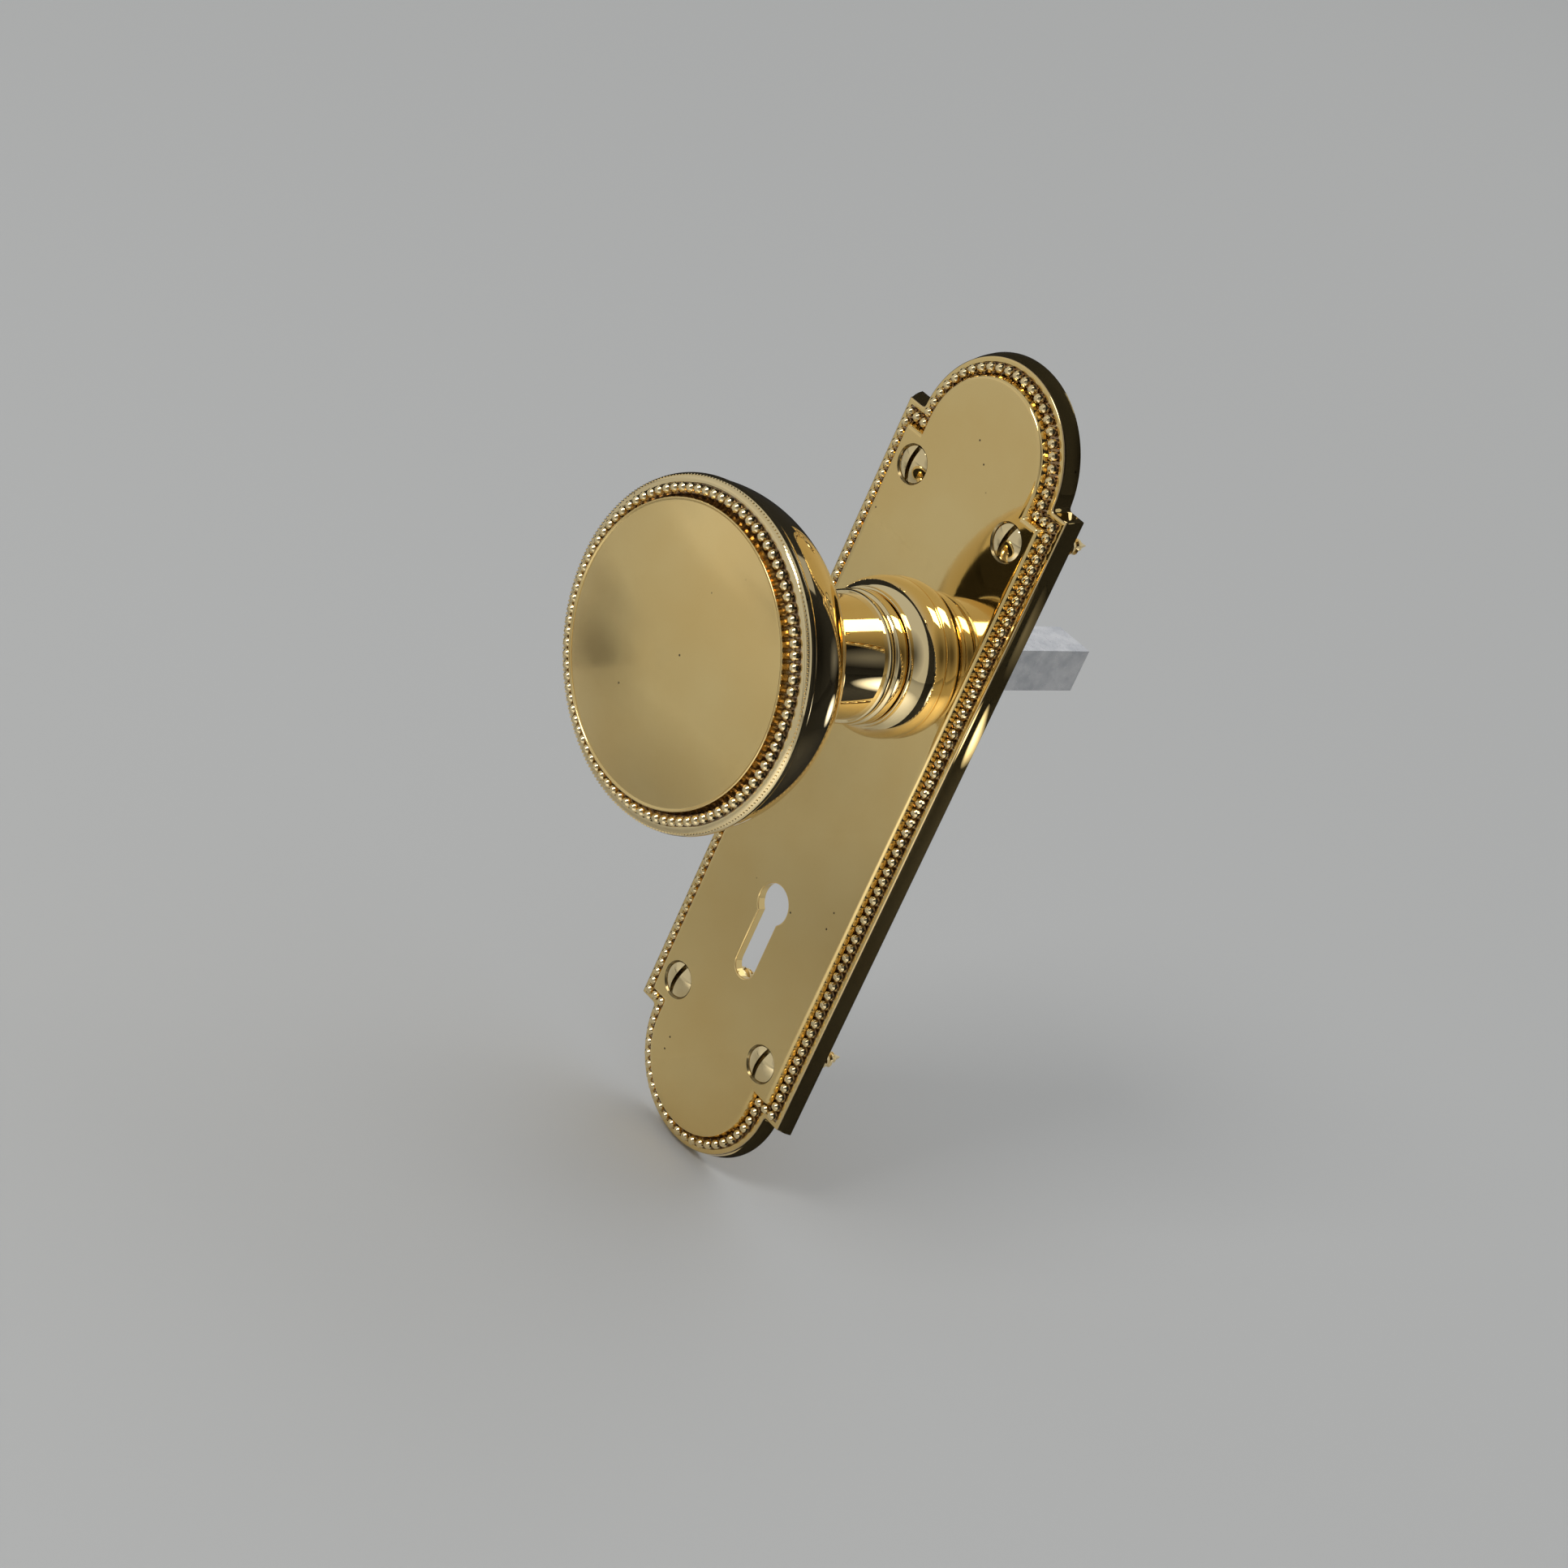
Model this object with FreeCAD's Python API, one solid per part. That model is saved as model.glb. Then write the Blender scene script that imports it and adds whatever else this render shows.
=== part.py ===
import FreeCAD, Part
import math
import os

# Door knob on a long backplate with a keyhole, sizes in millimetres.
# The origin is on the spindle axis at the face of the door, with +Z up the plate
# and the knob standing out along -Y.

# Backplate outline, taken at the top edge of its side wall
plate_half_width = 20.3
shoulder_spacing = 121.0
arch_radius = 16.6
plate_centre_drop = 22.65

# Backplate section: heights from the door, widths in from the edge of the side wall
panel_height = 5.0
rim_height = 2.75
ledge_height = 3.2
channel_height = 3.0
wall_swell_height = 1.5
wall_swell = 0.5
wall_flare = 0.8
ledge_round = 0.25
ledge_width = 0.95
step_foot = 2.8
border_width = 3.35
sheet = 1.6
rim_land = 2.4
panel_land = 1.3

# Beading on the backplate
plate_bead_radius = 0.88
plate_bead_pitch = 1.966
plate_bead_rise = 1.55
bead_inset = 1.85

# Keyhole
keyhole_drop = 50.0
keyhole_radius = 3.65
keyhole_slot_width = 4.9
keyhole_length = 18.7
keyhole_edge_round = 0.3

# Oval-head wood screws and the bosses that they pull down on
screw_spacing_x = 24.7
screw_spacing_z = 104.3
screw_head_radius = 3.15
screw_shank_radius = 1.6
screw_hole_clearance = 0.15
screw_seat_depth = 0.3
screw_oval_rise = 1.0
screw_slot_width = 0.9
screw_slot_depth = 1.1
screw_length = 19.0
screw_thread_start = 0.0
screw_thread_core_radius = 1.2
screw_tip_length = 3.0
screw_tip_radius = 0.1
screw_boss_radius = 4.6

# Collar, a turned boss swaged through the plate
collar_base_radius = 13.5
collar_top_radius = 11.7
collar_height = 5.8
collar_swell = 0.35
collar_lip_height = 0.8
collar_lip_inset = 0.1
collar_spigot_radius = 10.5
collar_swage_radius = 11.4
collar_swage_thickness = 0.6

# Bush that the knob turns in
bush_outer_radius = 9.2
bush_flange_radius = 11.25
bush_flange_thickness = 2.2
bush_groove_width = 0.45
bush_groove_depth = 0.6
bush_edge_bevel = 0.45
journal_clearance = 0.05
end_clearance = 0.3

# Knob shank, one turned piece: journal behind, neck in front
journal_radius = 7.5
journal_end_height = 0.3
neck_end_radius = 11.1
neck_end_bead = 1.3
neck_end_edge = 0.3
neck_root_radius = 10.4
neck_waist_radius = 9.9
neck_cove = 1.6
neck_cove_middle_angle = 135.0
spigot_radius = 8.0
rivet_radius = 9.0
rivet_height = 0.8

# Square spindle and the grub screw that holds it
spindle_width = 8.0
spindle_clearance = 0.05
spindle_behind_door = 40.0
spindle_engagement = 24.0
spindle_end_bevel = 0.8
socket_end_gap = 0.5
grub_radius = 2.5
grub_offset = 5.0
grub_sink = 0.4
grub_slot_width = 0.8
grub_slot_depth = 1.0

# Washer and circlip behind the plate
washer_radius = 11.5
washer_thickness = 0.7
washer_clearance = 0.3
circlip_radius = 9.6
circlip_thickness = 1.0
circlip_groove_depth = 0.6
circlip_gap_angle = 50.0
circlip_play = 0.1

# Knob: a spun bowl behind and a pressed face in front
knob_radius = 28.575
knob_reach = 45.25
knob_rim_round = 1.35
knob_rim_start_angle = -50.0
bowl_radius = 28.2
bowl_depth = 21.5
bowl_top_inset = 0.15
bowl_arcs = 3
knob_shell = 1.0
face_radius = 27.0
face_gap = 0.1
face_ledge_width = 1.0
face_flange = 1.0
face_sink = 0.2
face_sheet = 0.9
backing_washer_radius = 11.0
backing_washer_thickness = 1.2

# Ornament on the knob's face, from the edge inwards
knob_bead_radius = 0.88
knob_bead_pitch = 1.83
knob_bead_rise = 1.5
knob_bead_ring_radius = 26.15
bead_floor_radius = 25.2
cove_top_radius = 24.65
cove_height = 1.75
cove_hollow = 0.15
edge_line = 0.25
dome_rise = 3.3

# Form that every bead has: its flats, and its crown and root as shares of its radius
bead_sides = 6
bead_crown_share = 0.5
bead_root_share = 0.3

V = FreeCAD.Vector
ORIGIN = V(0, 0, 0)
Y_AXIS = V(0, 1, 0)
FRONT = V(0, -1, 0)
DOWN = V(0, 0, -1)

# How far a cutting body runs past what it cuts, and how near two places count as one
MARGIN = 1.0
TOUCH = 1e-4

# Heights above the door, from the panel out to the neck
panel_back = panel_height - sheet
channel_back = channel_height - sheet
collar_top = panel_height + collar_height
collar_face = collar_top + collar_lip_height
bush_groove_top = collar_face + bush_groove_width
bush_face = bush_groove_top + bush_flange_thickness
neck_start = bush_face + end_clearance
neck_bead_top = neck_start + neck_end_bead

# Heights behind the panel, down to the circlip
swage_back = panel_back - collar_swage_thickness
washer_back = swage_back - washer_thickness
circlip_front = washer_back - circlip_play
circlip_back = circlip_front - circlip_thickness

# Heights in the knob's rim and face
rim_centre = panel_height + knob_reach
rim_crest = rim_centre + knob_rim_round
bead_floor = rim_crest - face_sink
face_seat = bead_floor - face_flange
dome_edge = bead_floor + cove_height

# Levels along the plate, from the spindle axis
plate_centre_z = -plate_centre_drop
keyhole_z = -keyhole_drop


def at(x, height, z):
    """A point given by its height above the door."""
    return V(x, -height, z)


def path_edges(start, steps, place):
    """Edges through (a, b) places; a step holds an end, or a place on the arc and its end."""
    edges = []
    last = place(*start)
    for step in steps:
        end = place(*step[-2:])
        if len(step) == 4:
            edges.append(Part.Arc(last, place(*step[:2]), end).toShape())
        else:
            edges.append(Part.LineSegment(last, end).toShape())
        last = end
    return edges


def on_section(radius, height):
    """Place in the half section that a piece is turned from."""
    return at(radius, height, 0)


def turned(start, steps):
    """Solid turned about the knob axis from a closed section of (radius, height) steps."""
    edges = path_edges(start, steps + [start], on_section)
    return Part.Face(Part.Wire(edges)).revolve(ORIGIN, Y_AXIS, 360)


def rod(radius, low, high, x=0.0, z=0.0):
    """Round bar square to the door between two heights."""
    return Part.makeCylinder(radius, high - low, at(x, low, z), FRONT)


def taper(low_radius, high_radius, low, high, x=0.0, z=0.0):
    """Tapered round bar square to the door between two heights."""
    return Part.makeCone(low_radius, high_radius, high - low, at(x, low, z), FRONT)


def washer(outer, inner, low, high):
    """Flat ring round the knob axis between two heights."""
    return rod(outer, low, high).cut(rod(inner, low, high))


def block(size_x, size_z, low, high, x=0.0, z=0.0):
    """Rectangular bar square to the door between two heights."""
    return Part.makeBox(size_x, high - low, size_z, at(x - size_x / 2, high, z - size_z / 2))


def rounded(radius, height, round_radius, angle):
    """Place on a rounded edge about a centre; the angle runs from outwards to the front."""
    turn = math.radians(angle)
    return (radius + round_radius * math.cos(turn), height + round_radius * math.sin(turn))


def around(radius, count, first=0.0):
    """Even places on a circle as (x, z, angle)."""
    angles = [first + 2 * math.pi * index / count for index in range(count)]
    return [(radius * math.cos(angle), radius * math.sin(angle), angle) for angle in angles]


def bead(radius, floor, rise, x, z, first):
    """Faceted bead on a floor: upright sides rooted in it, a ring of facets and a flat crown."""
    rings = [
        (radius, floor - radius * bead_root_share),
        (radius, floor + rise - radius),
        (radius * bead_crown_share, floor + rise),
    ]
    wires = []
    for ring_radius, height in rings:
        corners = [at(x + dx, height, z + dz) for dx, dz, _ in around(ring_radius, bead_sides, first)]
        wires.append(Part.makePolygon(corners + corners[:1]))
    return Part.makeLoft(wires, True, True)


# Backplate

def half_outline(inset):
    """Steps from the lower right corner up the side, along the shoulder, over the arch and out.

    The border keeps its width, so that an outline inside the edge of the plate has a short
    upright between its shoulder and its arch, and one outside has less than half a circle.
    """
    half_width = plate_half_width - inset
    radius = arch_radius - inset
    arch_level = shoulder_spacing / 2
    shoulder = arch_level - inset
    crown = (0, arch_level + radius)
    if inset > 0:
        arch = [(radius, shoulder), (radius, arch_level), crown + (-radius, arch_level), (-radius, shoulder)]
    else:
        foot = math.sqrt(radius ** 2 - inset ** 2)
        arch = [(foot, shoulder), crown + (-foot, shoulder)]
    return [(half_width, shoulder)] + arch + [(-half_width, shoulder)]


def half_outline_start(inset):
    """Lower right corner of the plate's outline."""
    return (plate_half_width - inset, inset - shoulder_spacing / 2)


def outline(inset, height):
    """Closed outline of the plate, drawn in from the edge of its side wall, at a height."""
    def on_level(x, z):
        return at(x, height, z + plate_centre_z)

    upper = half_outline(inset)
    lower = [tuple(-value for value in step) for step in upper]
    return Part.Wire(path_edges(half_outline_start(inset), upper + lower, on_level))


def slab(inset, low, high):
    """Flat layer of the plate between two heights."""
    return Part.Face(outline(inset, low)).extrude(FRONT * (high - low))


def sloped(inset_low, inset_high, low, high):
    """Layer of the plate whose outline draws in from one height to another."""
    return Part.makeLoft([outline(inset_low, low), outline(inset_high, high)], True, True)


def spread(edges, pitch):
    """Even places along joined edges as (point, direction), without the end of the last edge."""
    total = sum(edge.Length for edge in edges)
    count = round(total / pitch)
    places = []
    for index in range(count):
        travel = total * index / count
        for edge in edges:
            if travel <= edge.Length:
                parameter = edge.getParameterByLength(travel)
                places.append((edge.valueAt(parameter), edge.tangentAt(parameter)))
                break
            travel -= edge.Length
    return places


def plate_beads():
    """Beads along the channel: a side, a shoulder, the arch and a shoulder, twice over."""
    edges = path_edges(half_outline_start(bead_inset), half_outline(bead_inset), on_section)
    beads = []
    for run in (edges[:1], edges[1:2], edges[2:5], edges[5:]):
        for point, along in spread(run, plate_bead_pitch):
            first = math.atan2(-along.y, along.x)
            for x, z in ((point.x, -point.y), (-point.x, point.y)):
                beads.append(bead(plate_bead_radius, channel_height, plate_bead_rise,
                                  x, z + plate_centre_z, first))
    return beads


def keyhole(low, high):
    """Keyhole as a solid between two heights: a round hole over a round-ended slot."""
    slot_radius = keyhole_slot_width / 2
    slot_end_z = keyhole_z + keyhole_radius - keyhole_length + slot_radius
    slot_span = keyhole_z - slot_end_z
    round_hole = rod(keyhole_radius, low, high, 0, keyhole_z)
    slot = block(keyhole_slot_width, slot_span, low, high, 0, keyhole_z - slot_span / 2)
    slot_end = rod(slot_radius, low, high, 0, slot_end_z)
    return round_hole.fuse([slot, slot_end]).removeSplitter()


def on_keyhole_mouth(edge):
    """True for an edge of the keyhole in the front of the panel."""
    box = edge.BoundBox
    on_panel = abs(box.YMin + panel_height) < TOUCH and abs(box.YMax + panel_height) < TOUCH
    across = max(abs(box.XMin), abs(box.XMax)) < keyhole_radius + TOUCH
    along = keyhole_z - keyhole_length < box.ZMin and box.ZMax < keyhole_z + keyhole_radius + TOUCH
    return on_panel and across and along


def screw_centres():
    """Places of the four screws."""
    half_x = screw_spacing_x / 2
    half_z = screw_spacing_z / 2
    return [(side * half_x, plate_centre_z + end * half_z) for end in (1, -1) for side in (-1, 1)]


def screw_hole(x, z):
    """Clearance hole whose countersink is a little wider at the panel than the head."""
    hole_radius = screw_shank_radius + screw_hole_clearance
    head_edge = panel_height - screw_seat_depth
    foot = head_edge - (screw_head_radius - hole_radius)
    mouth = panel_height + MARGIN
    mouth_radius = screw_head_radius + mouth - head_edge
    return rod(hole_radius, -MARGIN, foot, x, z).fuse(taper(hole_radius, mouth_radius, foot, mouth, x, z))


def make_backplate():
    """Hollow plate with a swelling wall, a beaded border, a raised panel and its holes."""
    lower_wall = sloped(-wall_flare, -wall_swell, 0, wall_swell_height)
    upper_wall = sloped(-wall_swell, 0, wall_swell_height, rim_height)
    rim = slab(0, rim_height, ledge_height)
    top_edges = [edge for edge in rim.Edges if edge.BoundBox.YMax < TOUCH - ledge_height]
    rim = rim.makeFillet(ledge_round, top_edges)
    body = lower_wall.fuse([upper_wall, rim])
    body = body.cut(slab(ledge_width, channel_height, ledge_height + MARGIN))
    body = body.fuse(sloped(step_foot, border_width, channel_height, panel_height))
    rim_hollow = slab(rim_land - wall_flare, -MARGIN, channel_back)
    panel_hollow = slab(border_width + panel_land, 0, panel_back)
    bosses = [rod(screw_boss_radius, -MARGIN, panel_height, x, z) for x, z in screw_centres()]
    body = body.cut(rim_hollow.fuse(panel_hollow).cut(bosses))
    body = body.cut([rod(collar_spigot_radius, 0, panel_height), keyhole(-MARGIN, panel_height + MARGIN)])
    body = body.removeSplitter()
    body = body.makeFillet(keyhole_edge_round, [edge for edge in body.Edges if on_keyhole_mouth(edge)])
    body = body.cut([screw_hole(x, z) for x, z in screw_centres()])
    return body.fuse(plate_beads())


# Screws

def make_plate_screw(x, z):
    """Oval-head wood screw: slotted domed head, cone, plain shank, thread core and point."""
    head_edge = panel_height - screw_seat_depth
    cone_foot = head_edge - (screw_head_radius - screw_shank_radius)
    oval_radius = (screw_head_radius ** 2 + screw_oval_rise ** 2) / (2 * screw_oval_rise)
    oval_top = head_edge + screw_oval_rise
    point = head_edge - screw_length
    tip_start = point + screw_tip_length
    ball = Part.makeSphere(oval_radius, at(x, oval_top - oval_radius, z))
    oval = ball.common(rod(screw_head_radius, head_edge, oval_top + MARGIN, x, z))
    screw = oval.fuse([
        taper(screw_shank_radius, screw_head_radius, cone_foot, head_edge, x, z),
        rod(screw_shank_radius, screw_thread_start, cone_foot, x, z),
        rod(screw_thread_core_radius, tip_start, screw_thread_start, x, z),
        taper(screw_tip_radius, screw_thread_core_radius, point, tip_start, x, z),
    ])
    slot_floor = oval_top - screw_slot_depth
    slot_length = 2 * (screw_head_radius + MARGIN)
    slot = block(screw_slot_width, slot_length, slot_floor, oval_top + MARGIN, x, z)
    return screw.cut(slot).removeSplitter()


def make_plate_screws():
    """The four identical screws."""
    return Part.makeCompound([make_plate_screw(x, z) for x, z in screw_centres()])


# Collar, bush and what is behind the plate

def make_collar():
    """Turned boss with a convex side and a narrow lip, its spigot swaged over behind the panel."""
    side_radius = (collar_base_radius + collar_top_radius) / 2 + collar_swell
    lip_radius = collar_top_radius - collar_lip_inset
    steps = [
        (side_radius, panel_height + collar_height / 2, collar_top_radius, collar_top),
        (lip_radius, collar_top),
        (lip_radius, collar_face),
        (bush_outer_radius, collar_face),
        (bush_outer_radius, swage_back),
        (collar_swage_radius, swage_back),
        (collar_swage_radius, panel_back),
        (collar_spigot_radius, panel_back),
        (collar_spigot_radius, panel_height),
    ]
    return turned((collar_base_radius, panel_height), steps)


def make_collar_bush():
    """Flanged bush in the collar, with a groove under its bevelled flange."""
    bore = journal_radius + journal_clearance
    groove_radius = bush_flange_radius - bush_groove_depth
    steps = [
        (bush_outer_radius, swage_back),
        (bush_outer_radius, collar_face),
        (groove_radius, collar_face),
        (groove_radius, bush_groove_top),
        (bush_flange_radius, bush_groove_top),
        (bush_flange_radius, bush_face - bush_edge_bevel),
        (bush_flange_radius - bush_edge_bevel, bush_face),
        (bore, bush_face),
    ]
    return turned((bore, swage_back), steps)


def make_thrust_washer():
    """Flat washer between the swaged collar and the circlip."""
    return washer(washer_radius, journal_radius + washer_clearance, washer_back, swage_back)


def make_circlip():
    """Open ring sprung into the journal's groove, with its gap at the bottom."""
    ring = washer(circlip_radius, journal_radius - circlip_groove_depth, circlip_back, circlip_front)
    half_gap = math.radians(circlip_gap_angle / 2)
    reach = circlip_radius + MARGIN
    half_mouth = reach * math.tan(half_gap)
    corners = [ORIGIN, V(half_mouth, 0, -reach), V(-half_mouth, 0, -reach), ORIGIN]
    gap = Part.Face(Part.makePolygon(corners)).extrude(FRONT * circlip_front)
    return ring.cut(gap)


# Knob

def bowl_steps(first_radius, last_radius, inward=0.0):
    """Arc steps between two radii along the bowl, half an ellipse in section, or inside its wall."""
    across = bowl_radius - inward
    deep = bowl_depth - inward
    first_turn = math.asin(first_radius / across)
    last_turn = math.asin(last_radius / across)
    places = []
    for index in range(2 * bowl_arcs + 1):
        turn = first_turn + (last_turn - first_turn) * index / (2 * bowl_arcs)
        places.append((across * math.sin(turn), rim_centre - deep * math.cos(turn)))
    return [places[0]] + [places[index - 1] + places[index] for index in range(2, len(places), 2)]


def bowl_level(radius, inward=0.0):
    """Height of the bowl, or of the inside of its wall, at a radius."""
    return rim_centre - (bowl_depth - inward) * math.sqrt(1 - (radius / (bowl_radius - inward)) ** 2)


def inner_bowl_radius(height):
    """Radius of the inside of the bowl at a height."""
    share = (rim_centre - height) / (bowl_depth - knob_shell)
    return (bowl_radius - knob_shell) * math.sqrt(1 - share ** 2)


# Where the bowl, the backing washer and the riveted spigot sit on one another
bowl_seat_radius = neck_waist_radius + neck_cove
bowl_seat = bowl_level(bowl_seat_radius)
washer_seat = bowl_seat + knob_shell
rivet_seat = washer_seat + backing_washer_thickness

# Reach of the spindle into the shank, and the level of the grub screw
spindle_front = journal_end_height + spindle_engagement
grub_height = neck_start + grub_offset


def grub_bar(inner, outer):
    """Round bar out through the underside of the neck, between two distances from the axis."""
    return Part.makeCylinder(grub_radius, outer - inner, at(0, grub_height, -inner), DOWN)


def make_knob_shank():
    """Journal, beaded neck end, waisted neck and a spigot riveted over inside the knob."""
    bead_edge = neck_end_radius - neck_end_edge
    cove_foot = bowl_seat - neck_cove
    rivet_top = rivet_seat + rivet_height
    steps = [
        (journal_radius, neck_start),
        (bead_edge, neck_start),
        (neck_end_radius, (neck_start + neck_bead_top) / 2, bead_edge, neck_bead_top),
        (neck_root_radius, neck_bead_top),
        (neck_waist_radius, cove_foot),
        rounded(bowl_seat_radius, cove_foot, neck_cove, neck_cove_middle_angle)
        + (bowl_seat_radius, bowl_seat),
        (spigot_radius, bowl_seat),
        (spigot_radius, rivet_seat),
        (rivet_radius, rivet_seat),
        (spigot_radius, rivet_top),
        (0, rivet_top),
        (0, journal_end_height),
    ]
    shank = turned((journal_radius, journal_end_height), steps)
    groove_radius = journal_radius - circlip_groove_depth
    groove = washer(journal_radius + MARGIN, groove_radius, circlip_back, circlip_front)
    socket_width = spindle_width + 2 * spindle_clearance
    socket = block(socket_width, socket_width, 0, spindle_front + socket_end_gap)
    return shank.cut([groove, socket, grub_bar(0, neck_root_radius + MARGIN)])


def make_grub_screw():
    """Slotted grub screw under the neck, bearing on a flat of the spindle."""
    head = neck_waist_radius - grub_sink
    slot_length = 2 * (grub_radius + MARGIN)
    corner = at(-grub_slot_width / 2, grub_height + slot_length / 2, -head)
    slot = Part.makeBox(grub_slot_width, slot_length, grub_slot_depth, corner)
    return grub_bar(spindle_width / 2, head).cut(slot)


def make_spindle():
    """Square bar through the door, bevelled at both ends."""
    bar = block(spindle_width, spindle_width, -spindle_behind_door, spindle_front)
    return bar.makeChamfer(spindle_end_bevel, [edge for edge in bar.Edges if edge.BoundBox.YLength < TOUCH])


def make_knob_bowl():
    """Spun bowl with a rounded rim, and inside it a ledge that carries the face."""
    lip_radius = face_radius + face_gap
    ledge_radius = lip_radius - face_ledge_width
    ledge_foot = face_seat - knob_shell
    wall_top = bowl_radius - bowl_top_inset
    inner_wall_top = wall_top - knob_shell
    rim_radius = knob_radius - knob_rim_round
    rim_start = rounded(rim_radius, rim_centre, knob_rim_round, knob_rim_start_angle)
    rim_middle = rounded(rim_radius, rim_centre, knob_rim_round, (knob_rim_start_angle + 90) / 2)
    steps = bowl_steps(bowl_seat_radius, wall_top)[1:]
    steps += [
        rim_start,
        rim_middle + (rim_radius, rim_crest),
        (lip_radius, rim_crest),
        (lip_radius, face_seat),
        (ledge_radius, face_seat),
        (ledge_radius, ledge_foot),
        (inner_wall_top, ledge_foot),
    ]
    steps += bowl_steps(inner_wall_top, inner_bowl_radius(washer_seat), knob_shell)
    steps += [(spigot_radius, washer_seat), (spigot_radius, bowl_seat)]
    return turned((bowl_seat_radius, bowl_seat), steps)


def dome_middle(edge_radius, edge_height, apex):
    """Place halfway out on a dome that is level at the knob axis."""
    rise = apex - edge_height
    curve_radius = (edge_radius ** 2 + rise ** 2) / (2 * rise)
    middle = edge_radius / 2
    return (middle, apex - curve_radius + math.sqrt(curve_radius ** 2 - middle ** 2))


def make_knob_face():
    """Pressed face: a floor with its ring of beads, a cove, a fine raised line and a shallow dome."""
    dome_radius = cove_top_radius - 2 * edge_line
    dome_apex = dome_edge + dome_rise
    inner_radius = dome_radius - face_sheet
    inner_edge = dome_edge - face_sheet
    inner_apex = dome_apex - face_sheet
    cove_middle = ((bead_floor_radius + cove_top_radius) / 2 - cove_hollow, bead_floor + cove_height / 2)
    steps = [
        (face_radius, bead_floor),
        (bead_floor_radius, bead_floor),
        cove_middle + (cove_top_radius, dome_edge),
        (cove_top_radius - edge_line, dome_edge + edge_line),
        (dome_radius, dome_edge),
        dome_middle(dome_radius, dome_edge, dome_apex) + (0, dome_apex),
        (0, inner_apex),
        dome_middle(inner_radius, inner_edge, inner_apex) + (inner_radius, inner_edge),
        (inner_radius, face_seat),
    ]
    face = turned((face_radius, face_seat), steps)
    bead_count = round(2 * math.pi * knob_bead_ring_radius / knob_bead_pitch)
    beads = []
    for x, z, angle in around(knob_bead_ring_radius, bead_count):
        beads.append(bead(knob_bead_radius, bead_floor, knob_bead_rise, x, z, angle))
    return face.fuse(beads)


def make_backing_washer():
    """Washer inside the bowl that the shank is riveted over."""
    return washer(backing_washer_radius, spigot_radius, washer_seat, rivet_seat)


pieces = {
    "backplate": make_backplate,
    "plate_screws": make_plate_screws,
    "collar": make_collar,
    "collar_bush": make_collar_bush,
    "thrust_washer": make_thrust_washer,
    "circlip": make_circlip,
    "knob_shank": make_knob_shank,
    "grub_screw": make_grub_screw,
    "spindle": make_spindle,
    "knob_bowl": make_knob_bowl,
    "backing_washer": make_backing_washer,
    "knob_face": make_knob_face,
}

os.makedirs("parts", exist_ok=True)
for name, make in pieces.items():
    shape = make()
    shape.exportStep("parts/" + name + ".step")
    print(name, "solids", len(shape.Solids), "volume", round(shape.Volume, 1), "valid", shape.isValid())
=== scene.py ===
import logging
import math
from dataclasses import dataclass
from enum import Enum

import bmesh
import bpy
from bmesh.types import BMEdge, BMesh, BMFace, BMVert
from bpy.types import Material, Mesh, NodeSocket, Object
from mathutils import Matrix, Vector


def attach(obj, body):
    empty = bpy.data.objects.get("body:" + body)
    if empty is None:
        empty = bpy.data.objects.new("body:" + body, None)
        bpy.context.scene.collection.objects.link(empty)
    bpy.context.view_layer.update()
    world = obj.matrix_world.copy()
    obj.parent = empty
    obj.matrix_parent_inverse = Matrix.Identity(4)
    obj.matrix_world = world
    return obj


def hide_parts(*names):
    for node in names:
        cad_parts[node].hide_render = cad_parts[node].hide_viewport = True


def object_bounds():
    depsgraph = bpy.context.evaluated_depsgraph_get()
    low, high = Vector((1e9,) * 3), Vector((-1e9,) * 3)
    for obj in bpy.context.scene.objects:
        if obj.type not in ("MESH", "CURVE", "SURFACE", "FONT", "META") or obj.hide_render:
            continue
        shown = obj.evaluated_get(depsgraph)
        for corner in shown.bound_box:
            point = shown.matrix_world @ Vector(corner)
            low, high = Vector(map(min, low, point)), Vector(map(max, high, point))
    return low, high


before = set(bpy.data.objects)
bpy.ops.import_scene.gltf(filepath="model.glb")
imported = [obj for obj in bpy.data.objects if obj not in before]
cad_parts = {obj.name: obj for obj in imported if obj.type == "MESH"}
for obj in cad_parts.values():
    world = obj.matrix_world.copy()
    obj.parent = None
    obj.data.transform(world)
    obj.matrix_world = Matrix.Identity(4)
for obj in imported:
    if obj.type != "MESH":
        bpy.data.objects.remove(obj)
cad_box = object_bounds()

# Meshes are drawn in millimetres as (x, -height above the mounting plane, z) and made metres when finished.
MM = 0.001
# Distances in millimetres within which two places count as one, on a turned shell and on the swept border.
MERGE = 1e-4
BORDER_MERGE = 1e-3
SHARP_ANGLE = math.radians(29)
QUARTER = math.radians(90)
UPRIGHT = Matrix.Rotation(QUARTER, 4, "X")
KNOB_AXIS = {"cent": (0, 0, 0), "axis": (0, 1, 0)}
UP = (0.0, 0.0, 1.0)
OUTWARDS = (0.0, -1.0, 0.0)

log = logging.getLogger("door_knob")

Place = tuple[float, float]
Point = tuple[float, float, float]
Colour = tuple[float, float, float]


class Body(Enum):
    """CAD bodies that the pieces ride on."""

    PLATE = "plate"
    KNOB = "knob"


# Finishes

class Pattern(Enum):
    """Noise patterns: features per metre, octaves of finer noise, and the values that count as low and high."""

    CLOUD = (55.0, 5.0, 0.35, 0.7)
    HAZE = (340.0, 6.0, 0.3, 0.75)
    WEAR = (900.0, 3.0, 0.3, 0.7)
    SPANGLE = (420.0, 4.0, 0.35, 0.68)
    DULLNESS = (1300.0, 4.0, 0.3, 0.7)


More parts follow.
